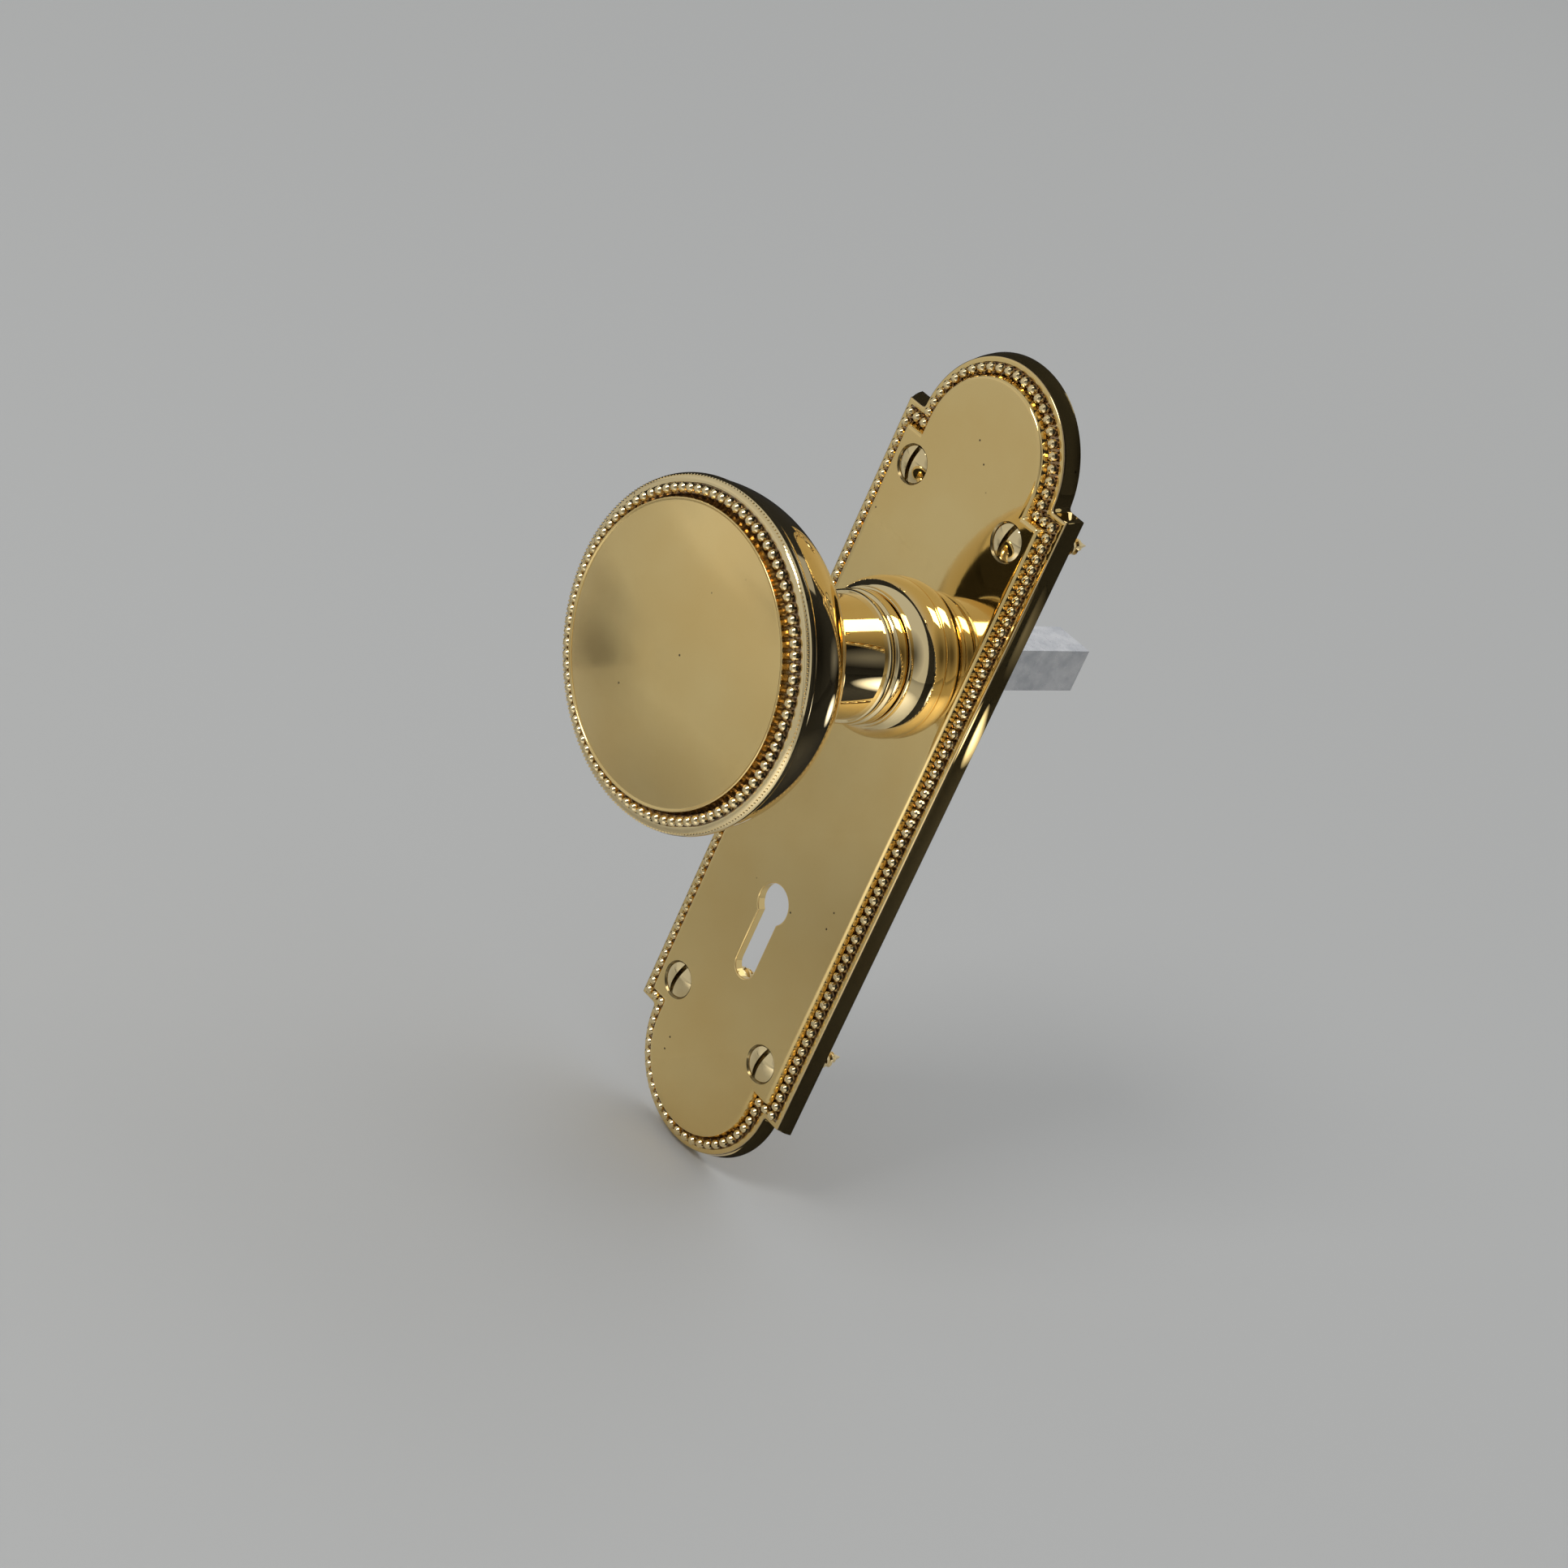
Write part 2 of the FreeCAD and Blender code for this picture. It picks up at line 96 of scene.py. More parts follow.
class Relief(Enum):
    """Fine relief: features per metre, octaves of finer noise, and the stretch along x, y and z."""

    PEEL = (620.0, 2.0, (1.0, 1.0, 1.0))
    GRAIN = (5200.0, 3.0, (1.0, 1.0, 1.0))
    SCRATCHES = (900.0, 3.0, (9.0, 9.0, 0.35))
    DRAWN = (1500.0, 4.0, (6.0, 0.3, 6.0))


class Bench:
    """Node tree of one material, with short calls to place and join its nodes."""

    def __init__(self, name: str) -> None:
        """Start a material that holds only its output and shader.

        Args:
            name: name of the material.
        """
        self.material = bpy.data.materials.new(name)
        self.material.use_nodes = True
        self.tree = self.material.node_tree
        self.shader = self.tree.nodes["Principled BSDF"]
        self.place = self.add("TexCoord", {}, "Object")

    def fill(self, node: bpy.types.Node, inputs: dict[str | int, object]) -> None:
        """Link or set inputs of a node.

        Args:
            node: the node.
            inputs: a socket, value or colour for each input's name or number.
        """
        for name, value in inputs.items():
            if isinstance(value, NodeSocket):
                self.tree.links.new(value, node.inputs[name])
            elif node.inputs[name].type == "RGBA":
                node.inputs[name].default_value = (*value, 1.0)
            else:
                node.inputs[name].default_value = value

    def add(self, kind: str, inputs: dict[str | int, object], output: str | int = 0,
            **settings: object) -> NodeSocket:
        """Add a node.

        Args:
            kind: Blender's name of the node type, after ShaderNode.
            inputs: its inputs, as fill takes them.
            output: name or number of an output.
            settings: properties set on the node.

        Returns:
            That output.
        """
        node = self.tree.nodes.new("ShaderNode" + kind)
        for name, value in settings.items():
            setattr(node, name, value)
        self.fill(node, inputs)
        return node.outputs[output]

    def noise(self, scale: float, detail: float, stretch: Point) -> NodeSocket:
        """Noise over the object's own coordinates, about 0.5 on average."""
        place = self.add("Mapping", {"Vector": self.place, "Scale": stretch}, "Vector")
        return self.add("TexNoise", {"Vector": place, "Scale": scale, "Detail": detail}, "Fac")

    def ranged(self, source: NodeSocket, low: float, high: float, to_low: float, to_high: float) -> NodeSocket:
        """Map a value from one range to another, held at both ends."""
        return self.add("MapRange", {"Value": source, "From Min": low, "From Max": high,
                                     "To Min": to_low, "To Max": to_high}, "Result")

    def patterned(self, pattern: Pattern, to_low: float, to_high: float) -> NodeSocket:
        """Let a value wander between two limits in a noise pattern."""
        scale, detail, low, high = pattern.value
        return self.ranged(self.noise(scale, detail, (1.0, 1.0, 1.0)), low, high, to_low, to_high)

    def math(self, operation: str, first: NodeSocket, second: NodeSocket | float) -> NodeSocket:
        """Combine two values by one of Blender's operations."""
        return self.add("Math", {0: first, 1: second}, operation=operation)

    def blend(self, factor: NodeSocket, first: NodeSocket | Colour, second: Colour) -> NodeSocket:
        """Mix two colours, the second one by the factor."""
        return self.add("Mix", {"Factor": factor, 6: first, 7: second}, 2, data_type="RGBA")

    def pits(self, scale: float, share: float, width: float, core: float = 0.6) -> NodeSocket:
        """Scatter small round pits.

        Args:
            scale: possible places per metre.
            share: share of the places that hold no pit.
            width: radius of a pit as a share of the spacing.
            core: share of that radius that is fully pitted.

        Returns:
            1 in a pit and 0 elsewhere.
        """
        distance = self.add("TexVoronoi", {"Vector": self.place, "Scale": scale}, "Distance")
        near = self.ranged(distance, width * core, width, 1.0, 0.0)
        draw = self.add("SeparateColor", {0: distance.node.outputs["Color"]})
        return self.math("MULTIPLY", near, self.math("GREATER_THAN", draw, share))

    def bump(self, relief: Relief, depth: float, below: dict[str, NodeSocket] | None = None) -> NodeSocket:
        """Normal of a relief, its depth in metres, on top of a coarser one if that is given."""
        height = self.noise(*relief.value)
        return self.add("Bump", {"Strength": 1.0, "Distance": depth, "Height": height, **(below or {})}, "Normal")

    def level(self) -> NodeSocket:
        """Height above the mounting plane in metres."""
        return self.math("MULTIPLY", self.add("SeparateXYZ", {0: self.place}, "Y"), -1.0)


@dataclass(frozen=True)
class PolishedBrass:
    """Mirror-polished, unlacquered brass: bright on the faces, browner where the polish doesn't reach, which is
    partly patina and partly painted shade in the recesses.
    """

    name: str
    bright: Colour = (0.90, 0.68, 0.30)
    warm: Colour = (0.86, 0.62, 0.25)
    # Colour of the recess band: partly patina, partly painted shade.
    patina_and_shade: Colour = (0.36, 0.27, 0.215)
    pit: Colour = (0.10, 0.07, 0.05)
    pit_scale: float = 700.0
    pit_width: float = 0.16
    pit_free: float = 0.985
    # Heights in millimetres where the patina and painted shade start, are fullest and end.
    recess: tuple[float, float, float] | None = None
    recess_haze: float = 0.2
    recess_least: float = 0.65
    roughness_low: float = 0.025
    roughness_high: float = 0.06
    peel: float = 1.2e-6
    grain: float = 3.5e-7

    def material(self) -> Material:
        """Build the node material.

        Returns:
            The finished brass.
        """
        bench = Bench(self.name)
        colour = bench.blend(bench.patterned(Pattern.CLOUD, 0.0, 1.0), self.bright, self.warm)
        colour = bench.blend(bench.pits(self.pit_scale, self.pit_free, self.pit_width), colour, self.pit)
        haze = bench.patterned(Pattern.HAZE, self.roughness_low, self.roughness_high)
        if self.recess is not None:
            below, floor, top = (height * MM for height in self.recess)
            level = bench.level()
            low = bench.ranged(level, floor, top, 1.0, 0.0)
            above = bench.ranged(level, below, floor, 0.0, 1.0)
            worn = bench.patterned(Pattern.WEAR, self.recess_least, 1.0)
            # The recess band is darkened: partly real patina in the hollows, partly painted shade.
            recess = bench.math("MULTIPLY", bench.math("MULTIPLY", low, above), worn)
            colour = bench.blend(recess, colour, self.patina_and_shade)
            haze = bench.math("ADD", haze, bench.math("MULTIPLY", recess, self.recess_haze))
        peel = bench.bump(Relief.PEEL, self.peel)
        grain = bench.bump(Relief.GRAIN, self.grain, {"Normal": peel})
        scratches = bench.bump(Relief.SCRATCHES, self.grain, {"Normal": grain})
        bench.fill(bench.shader, {"Base Color": colour, "Roughness": haze, "Metallic": 1.0, "Normal": scratches})
        return bench.material


@dataclass(frozen=True)
class ZincSteel:
    """Zinc-plated steel of the hidden fittings."""

    name: str
    bright: Colour = (0.62, 0.62, 0.63)
    dull: Colour = (0.47, 0.48, 0.50)
    roughness_low: float = 0.24
    roughness_high: float = 0.46
    grain: float = 6e-6

    def material(self) -> Material:
        """Build the node material.

        Returns:
            The finished steel.
        """
        bench = Bench(self.name)
        bench.fill(bench.shader, {
            "Base Color": bench.blend(bench.patterned(Pattern.SPANGLE, 0.0, 1.0), self.bright, self.dull),
            "Roughness": bench.patterned(Pattern.DULLNESS, self.roughness_low, self.roughness_high),
            "Metallic": 1.0,
            "Normal": bench.bump(Relief.DRAWN, self.grain)})
        return bench.material


# Drawing and finishing of meshes

def around(centre: Place, radius: float, turn: float) -> Place:
    """Place on a circle, at a turn in radians from the first axis."""
    return centre[0] + radius * math.cos(turn), centre[1] + radius * math.sin(turn)


def dome_height(top: float, rise: float, edge: float, radius: float) -> float:
    """Height of a dome at a radius, from its top, its rise and the radius of its edge."""
    curve = (edge ** 2 + rise ** 2) / (2 * rise)
    return top - curve + math.sqrt(curve ** 2 - radius ** 2)


def centre_of_arc(first: Vector, middle: Vector, last: Vector) -> Vector:
    """Centre of the circle through three places in a plane.

    Args:
        first: one end.
        middle: a place between the ends.
        last: the other end.

    Returns:
        The centre.
    """
    a, b = middle - first, last - first
    across = 2 * (a.x * b.y - a.y * b.x)
    square_a, square_b = a.length_squared, b.length_squared
    return first + Vector((b.y * square_a - a.y * square_b, a.x * square_b - b.x * square_a)) / across


def of_kind(made: list, kind: type) -> list:
    """Vertices, edges or faces among the geometry that an operator gives back."""
    return [item for item in made if isinstance(item, kind)]


def whole(bm: BMesh) -> list:
    """All the geometry of a mesh."""
    return bm.verts[:] + bm.edges[:] + bm.faces[:]


def round_off(bm: BMesh, corners: list[tuple[BMVert, float]], segments: int = 4) -> None:
    """Round the corners of a drawn line.

    Args:
        bm: mesh that holds the line.
        corners: each corner's vertex and the size of its round.
        segments: edges in a round.
    """
    for vert, size in corners:
        bmesh.ops.bevel(bm, geom=[vert], offset=size, offset_type="OFFSET", segments=segments, profile=0.5,
                        affect="VERTICES", material=-1)


def mesh_of(bm: BMesh, name: str) -> Mesh:
    """Store a mesh under a name and free its drawing.

    Args:
        bm: the drawing.
        name: name of the mesh.

    Returns:
        The mesh.
    """
    mesh = bpy.data.meshes.new(name)
    bm.to_mesh(mesh)
    bm.free()
    return mesh


def placed(name: str, data: bpy.types.ID) -> Object:
    """Put an object into the scene.

    Args:
        name: its name.
        data: its mesh, lamp or camera.

    Returns:
        The object.
    """
    item = bpy.data.objects.new(name, data)
    bpy.context.scene.collection.objects.link(item)
    return item


class Section:
    """Half section of a turned piece, drawn step by step as (radius, height)."""

    def __init__(self, radius: float, height: float) -> None:
        """Start the section.

        Args:
            radius: distance from the axis.
            height: height above the mounting plane.
        """
        self.bm = bmesh.new()
        self.first = self.tip = self.bm.verts.new((radius, -height, 0.0))
        self.corners: list[tuple[BMVert, float]] = []

    def line(self, *ends: tuple[float, ...]) -> None:
        """Draw straight runs.

        Args:
            ends: (radius, height) of each run's end, followed by the size of the round there if it has one.
        """
        for radius, height, *sizes in ends:
            end = self.bm.verts.new((radius, -height, 0.0))
            self.bm.edges.new((self.tip, end))
            self.corners += [(end, size) for size in sizes]
            self.tip = end

    def arc(self, middle: Place, end: Place, steps: int) -> None:
        """Draw an arc through a middle place.

        Args:
            middle: (radius, height) of a place on the arc.
            end: (radius, height) of its end.
            steps: edges in the arc.
        """
        first = self.tip.co.xy
        through = Vector((middle[0], -middle[1]))
        last = Vector((end[0], -end[1]))
        centre = centre_of_arc(first, through, last)
        turn = -(first - centre).angle_signed(through - centre) - (through - centre).angle_signed(last - centre)
        made = bmesh.ops.spin(
            self.bm, geom=[self.tip], cent=(*centre, 0.0), axis=(0, 0, 1), angle=turn, steps=steps)
        self.tip = made["geom_last"][0]

    def oval(self, across: float, deep: float, level: float, end_radius: float, steps: int) -> None:
        """Draw part of an ellipse whose centre is on the axis, from the tip to a radius.

        Args:
            across: half axis along the radius.
            deep: half axis along the height.
            level: height of the centre.
            end_radius: distance of the end from the axis.
            steps: edges in the arc.
        """
        start = self.tip
        start_turn, end_turn = (math.asin(min(1.0, radius / across)) for radius in (start.co.x, end_radius))
        level_of_start = start.co.y
        # A circle is drawn from a start of its own and then pressed into the ellipse.
        start.co.y = -level + across * math.cos(start_turn)
        known = set(self.bm.verts)
        made = bmesh.ops.spin(
            self.bm, geom=[start], cent=(0, -level, 0), axis=(0, 0, 1), angle=start_turn - end_turn, steps=steps)
        drawn = [vert for vert in self.bm.verts if vert not in known]
        bmesh.ops.scale(
            self.bm, vec=(1, deep / across, 1), space=Matrix.Translation((0, level, 0)), verts=drawn)
        start.co.y = level_of_start
        self.tip = made["geom_last"][0]

    def turned(self, steps: int = 192, ring: bool = True) -> BMesh:
        """Spin the section round the knob axis into a closed shell.

        Args:
            steps: steps in a full turn.
            ring: whether the section closes on itself; otherwise both ends are on the axis.

        Returns:
            The shell.
        """
        bm = self.bm
        if ring:
            bm.edges.new((self.tip, self.first))
        round_off(bm, self.corners)
        bmesh.ops.spin(bm, geom=whole(bm), **KNOB_AXIS, angle=math.tau, steps=steps, use_merge=True)
        bmesh.ops.remove_doubles(bm, verts=bm.verts[:], dist=MERGE)
        bmesh.ops.recalc_face_normals(bm, faces=bm.faces[:])
        return bm


def carved(shell: BMesh, cutter: BMesh) -> BMesh:
    """Cut one closed shell out of another.

    Args:
        shell: the shell that loses material.
        cutter: the shell that is taken away.

    Returns:
        The cut shell.
    """
    kept = placed("carved_shell", mesh_of(shell, "carved_shell"))
    taken = placed("cutter_shell", mesh_of(cutter, "cutter_shell"))
    cut = kept.modifiers.new("cut", "BOOLEAN")
    cut.operation = "DIFFERENCE"
    cut.solver = "EXACT"
    cut.object = taken
    graph = bpy.context.evaluated_depsgraph_get()
    shaped = bpy.data.meshes.new_from_object(kept.evaluated_get(graph))
    result = bmesh.new()
    result.from_mesh(shaped)
    for mesh in (shaped, kept.data, taken.data):
        bpy.data.meshes.remove(mesh)
    return result


def append(target: BMesh, source: Mesh, place: Matrix = Matrix.Identity(4)) -> None:
    """Add a copy of a mesh to another one.

    Args:
        target: mesh that receives the copy.
        source: mesh that is copied.
        place: transform of the copy.
    """
    known = len(target.verts)
    target.from_mesh(source)
    target.verts.ensure_lookup_table()
    bmesh.ops.transform(target, matrix=place, verts=target.verts[known:])


def ringed(bm: BMesh, count: int) -> None:
    """Repeat a shape at an even pitch round the knob axis.

    Args:
        bm: mesh that holds the first one.
        count: how many the ring holds.
    """
    bmesh.ops.spin(bm, geom=whole(bm), **KNOB_AXIS, angle=math.tau * (count - 1) / count,
                   steps=count - 1, use_duplicate=True)
    bmesh.ops.recalc_face_normals(bm, faces=bm.faces[:])


def round_bead(radius: float, rise: float, root: float = 0.04, segments: int = 12, rings: int = 6) -> Mesh:
    """Ball-shaped bead at the origin that stands on a floor and is rooted a little below it.

    Args:
        radius: radius of the ball.
        rise: height of its top above the floor.
        root: depth of its root below the floor.
        segments: facets round it.
        rings: facets from pole to pole.

    Returns:
        The closed bead, with its floor at height 0.
    """
    bm = bmesh.new()
    bmesh.ops.create_uvsphere(bm, u_segments=segments, v_segments=rings, radius=radius,
                              matrix=Matrix.Translation((0, radius - rise, 0)) @ UPRIGHT)
    made = bmesh.ops.bisect_plane(
        bm, geom=whole(bm), plane_co=(0, root, 0), plane_no=(0, 1, 0), clear_outer=True)
    bmesh.ops.contextual_create(bm, geom=of_kind(made["geom_cut"], BMEdge))
    bmesh.ops.recalc_face_normals(bm, faces=bm.faces[:])
    return mesh_of(bm, "bead")


def finished(bm: BMesh, name: str, body: Body, finishes: list[Material],
             flats: list[BMFace] | None = None) -> Object:
    """Make a brass piece of a mesh, with smooth faces and sharp edges, on its body and in its finish.

    Args:
        bm: mesh in millimetres.
        name: name of the piece.
        body: body that it rides on.
        finishes: its materials, in the order of its faces' material numbers.
        flats: large flat faces, kept flat up to their edges.

    Returns:
        The piece.
    """
    for edge in bm.edges:
        edge.smooth = edge.calc_face_angle(0.0) < SHARP_ANGLE
    for face in bm.faces:
        face.smooth = True
    flat_set = set(flats or [])
    for face in flat_set:
        for edge in face.edges:
            if any(other not in flat_set for other in edge.link_faces):
                edge.smooth = False
    bmesh.ops.scale(bm, vec=(MM, MM, MM), verts=bm.verts[:])
    piece = placed(name, mesh_of(bm, name))
    for finish in finishes:
        piece.data.materials.append(finish)
    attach(piece, body.value)
    log.info("%s: %d faces on %s", name, len(piece.data.polygons), body.value)
    return piece


# Backplate

@dataclass
class Backplate:
    """Hollow plate with a swelling wall, a beaded border, a raised panel, a keyhole and screw holes."""

    finish: Material
    # Material with painted shade for the countersinks.
    seat_shade_finish: Material
    back_finish: Material
    bead_finish: Material
    half_width: float = 20.3
    shoulder_spacing: float = 121.0
    arch_radius: float = 16.6
    centre_drop: float = 22.65
    panel_height: float = 5.0
    rim_height: float = 2.75
    ledge_height: float = 3.2
    channel_height: float = 3.0
    wall_swell_height: float = 1.5
    wall_swell: float = 0.5
    wall_flare: float = 0.8
    ledge_width: float = 0.95
    step_foot: float = 2.8
    border_width: float = 3.35
    sheet: float = 1.6
    rim_land: float = 2.4
    wall_land: float = 0.4
    panel_land: float = 1.02
    panel_edge_round: float = 0.45
    step_round: float = 0.15
    channel_round: float = 0.08
    ledge_round: float = 0.07
    rim_round: float = 0.3
    wall_round: float = 0.2
    swell_round: float = 0.6
    corner_round: float = 0.12
    panel_corner_round: float = 0.45
    nook_round: float = 0.8
    nook_tightening: float = 0.5
    corner_steps: int = 4
    nook_steps: int = 5
    arch_start: float = math.radians(5.4)
    arch_steps: int = 40
    bead_radius: float = 0.88
    bead_pitch: float = 1.966
    bead_rise: float = 1.55
    bead_inset: float = 1.85
    bead_arch_steps: int = 180
    keyhole_drop: float = 50.0
    keyhole_radius: float = 3.65
    keyhole_slot_width: float = 4.9
    keyhole_length: float = 18.7
    keyhole_edge_round: float = 0.3
    keyhole_steps: int = 40
    collar_hole_radius: float = 10.5
    screw_spacing_x: float = 24.7
    screw_spacing_z: float = 104.3
    screw_mouth_radius: float = 3.45
    screw_hole_radius: float = 1.75
    screw_boss_radius: float = 3.1
    seat_reach: float = 0.5
    hole_segments: int = 64
    back_slope: float = 0.5

    @property
    def panel_back(self) -> float:
        """Height of the panel's inner side."""
        return self.panel_height - self.sheet

    @property
    def arch_level(self) -> float:
        """Distance of the arches' centres from the middle of the plate."""
        return self.shoulder_spacing / 2

    def stations(self, inset: float) -> list[Place]:
        """Places of one outline from the middle of the side to the start of the arch.

        Args:
            inset: distance in from the edge of the side wall.

        Returns:
            Places as (x, z from the middle of the plate), as many for every inset.
        """
        width = self.half_width - inset
        radius = self.arch_radius - inset
        shoulder = self.arch_level - inset
        inward = min(1.0, max(0.0, (inset - self.ledge_width) / (self.border_width - self.ledge_width)))
        corner = self.corner_round + (self.panel_corner_round - self.corner_round) * inward
        nook = self.nook_round * (1 - self.nook_tightening * inward)
        foot = radius if inset > 0 else math.sqrt(radius ** 2 - inset ** 2)
        rise = nook - inset
        nook_x = radius if rise <= 0 else math.sqrt(radius ** 2 - rise ** 2)
        nook_z = self.arch_level + rise
        places = [(width, 0.0)]
        for step in range(self.corner_steps + 1):
            turn = QUARTER * step / self.corner_steps
            places.append(around((width - corner, shoulder - corner), corner, turn))
        # The inner corner is a quadratic curve from the shoulder to the arch.
        for step in range(self.nook_steps + 1):
            share = step / self.nook_steps
            start, middle, end = (1 - share) ** 2, 2 * share * (1 - share), share ** 2
            places.append((start * (foot + nook) + middle * foot + end * nook_x,
                           (start + middle) * shoulder + end * nook_z))
        places.append((radius, self.arch_level) if rise < 0 else (nook_x, nook_z))
        places.append(around((0.0, self.arch_level), radius, self.arch_start))
        return places

    def border(self) -> BMesh:
        """Sweep the plate's section round a quarter of its outline and mirror it twice.

        Returns:
            The border and wall, open at the panel in front and behind.
        """
        bm = bmesh.new()
        inset_of = bm.verts.layers.float.new("inset")
        channel_back = self.channel_height - self.sheet
        hollow_start = self.rim_land - self.wall_flare
        panel_edge = self.border_width + self.panel_land
        # Inset, height and round of each corner.
        corners = [
            (panel_edge, self.panel_height, 0.0),
            (self.border_width + 2 * self.panel_edge_round, self.panel_height, 0.0),
            (self.border_width, self.panel_height, self.panel_edge_round),
            (self.step_foot, self.channel_height, self.step_round),
            (self.ledge_width, self.channel_height, self.channel_round),
            (self.ledge_width, self.ledge_height, self.ledge_round),
            (0.0, self.ledge_height, self.rim_round),
            (0.0, self.rim_height, self.wall_round),
            (-self.wall_swell, self.wall_swell_height, self.swell_round),
            (-self.wall_flare, 0.0, self.step_round),
            (hollow_start, 0.0, self.step_round),
            (hollow_start, channel_back, self.step_round),
            (panel_edge, channel_back, self.step_round),
            (panel_edge, self.panel_back, 0.0),
        ]
        verts = [bm.verts.new((self.half_width - inset, -height, 0.0)) for inset, height, _ in corners]
        for first, second in zip(verts, verts[1:]):
            bm.edges.new((first, second))
        round_off(bm, [(vert, size) for vert, (_, _, size) in zip(verts, corners) if size])
        for vert in bm.verts:
            vert[inset_of] = self.half_width - vert.co.x
        front = bm.edges[:]
        for index in range(1, len(self.stations(0.0))):
            made = bmesh.ops.extrude_edge_only(bm, edges=front)["geom"]
            front = of_kind(made, BMEdge)
            for vert in of_kind(made, BMVert):
                vert.co.x, vert.co.z = self.stations(vert[inset_of])[index]
        end_verts = list({vert for edge in front for vert in edge.verts})
        bmesh.ops.spin(
            bm, geom=front + end_verts, cent=(0, 0, self.arch_level), axis=(0, 1, 0),
            angle=self.arch_start - QUARTER, steps=self.arch_steps)
        for axis in ("X", "Z"):
            bmesh.ops.mirror(
                bm, geom=whole(bm), matrix=Matrix.Identity(4), merge_dist=BORDER_MERGE, axis=axis)
        bmesh.ops.remove_doubles(bm, verts=bm.verts[:], dist=BORDER_MERGE)
        bmesh.ops.dissolve_degenerate(bm, dist=BORDER_MERGE, edges=bm.edges[:])
        return bm

    def drill(self, bm: BMesh, x: float, z: float, *rings: Place) -> None:
        """Add the wall of a round hole.

        Args:
            bm: mesh that receives the wall.
            x: place of the hole.
            z: place of the hole from the middle of the plate.
            rings: (radius, height) of each ring of the wall, from the front.
        """
        radius, height = rings[0]
        made = bmesh.ops.create_circle(bm, cap_ends=False, segments=self.hole_segments, radius=radius,
                                       matrix=Matrix.Translation((x, -height, z)) @ UPRIGHT)
        edges = list({edge for vert in made["verts"] for edge in vert.link_edges})
        for next_radius, next_height in rings[1:]:
            extruded = bmesh.ops.extrude_edge_only(bm, edges=edges)["geom"]
            edges = of_kind(extruded, BMEdge)
            ring = of_kind(extruded, BMVert)
            share = next_radius / radius
            bmesh.ops.scale(bm, vec=(share, 1, share), space=Matrix.Translation((-x, 0, -z)), verts=ring)
            bmesh.ops.translate(bm, vec=(0, height - next_height, 0), verts=ring)
            radius, height = next_radius, next_height

    def keyhole_ring(self, bm: BMesh, margin: float, height: float) -> list[BMEdge]:
        """Draw one outline of the keyhole.

        Args:
            bm: mesh that receives the outline.
            margin: how far the outline lies outside the hole.
            height: its height above the mounting plane.

        Returns:
            The edges of the closed outline.
        """
        centre_z = self.centre_drop - self.keyhole_drop
        radius = self.keyhole_radius + margin
        slot_radius = self.keyhole_slot_width / 2 + margin
        slot_end = centre_z + self.keyhole_radius - self.keyhole_length + self.keyhole_slot_width / 2
        join_turn = math.asin(slot_radius / radius)
        start = bm.verts.new((slot_radius, -height, centre_z - radius * math.cos(join_turn)))
        over = bmesh.ops.spin(bm, geom=[start], cent=(0, -height, centre_z), axis=(0, 1, 0),
                              angle=-(math.tau - 2 * join_turn), steps=self.keyhole_steps)
        foot = bm.verts.new((-slot_radius, -height, slot_end))
        bm.edges.new((over["geom_last"][0], foot))
        under = bmesh.ops.spin(bm, geom=[foot], cent=(0, -height, slot_end), axis=(0, 1, 0),
                               angle=-math.pi, steps=self.keyhole_steps // 2)
        bm.edges.new((under["geom_last"][0], start))
        return [edge for edge in bm.edges
                if edge.is_wire and all(abs(vert.co.y + height) < MERGE for vert in edge.verts)]

    def keyhole(self, bm: BMesh) -> None:
        """Add the wall of the keyhole with its rounded mouth.

        Args:
            bm: mesh that receives the wall.
        """
        size = self.keyhole_edge_round
        turns = [QUARTER * step / self.corner_steps for step in range(self.corner_steps + 1)]
        rings = [(size * (1 - math.sin(turn)), self.panel_height - size * (1 - math.cos(turn))) for turn in turns]
        scratch = bmesh.new()
        last = self.keyhole_ring(scratch, *rings[0])
        for ring in rings[1:] + [(0.0, self.panel_back)]:
            drawn = self.keyhole_ring(scratch, *ring)
            bmesh.ops.bridge_loops(scratch, edges=last + drawn)
            last = [edge for edge in drawn if edge.is_valid]
        append(bm, mesh_of(scratch, "keyhole_wall"))

    def fill(self, bm: BMesh, height: float, outwards: float) -> list[BMFace]:
        """Fill the flat between the border and the holes at one height.

        Args:
            bm: mesh to fill.
            height: height of the flat.
            outwards: direction along y that the flat faces.

        Returns:
            The new faces.
        """
        rim = [edge for edge in bm.edges if len(edge.link_faces) < 2
               and all(abs(vert.co.y + height) < BORDER_MERGE for vert in edge.verts)]
        made = bmesh.ops.triangle_fill(
            bm, use_beauty=True, use_dissolve=False, edges=rim, normal=(0, outwards, 0))
        return of_kind(made["geom"], BMFace)

    def in_hollow(self, face: BMFace) -> bool:
        """Tell whether a face belongs to the plate's unpolished back and hollow.

        Args:
            face: face of the plate before it is lowered to its place.

        Returns:
            True for the back and the inner walls.
        """
        x, y, z = face.calc_center_median()
        land = self.wall_land
        in_middle = abs(x) < self.half_width - land and abs(z) < self.arch_level - land
        in_arch = math.hypot(x, max(0.0, abs(z) - self.arch_level)) < self.arch_radius - land
        low = -y < self.channel_height - self.corner_round
        return face.normal.y > self.back_slope or low and (in_middle or in_arch)

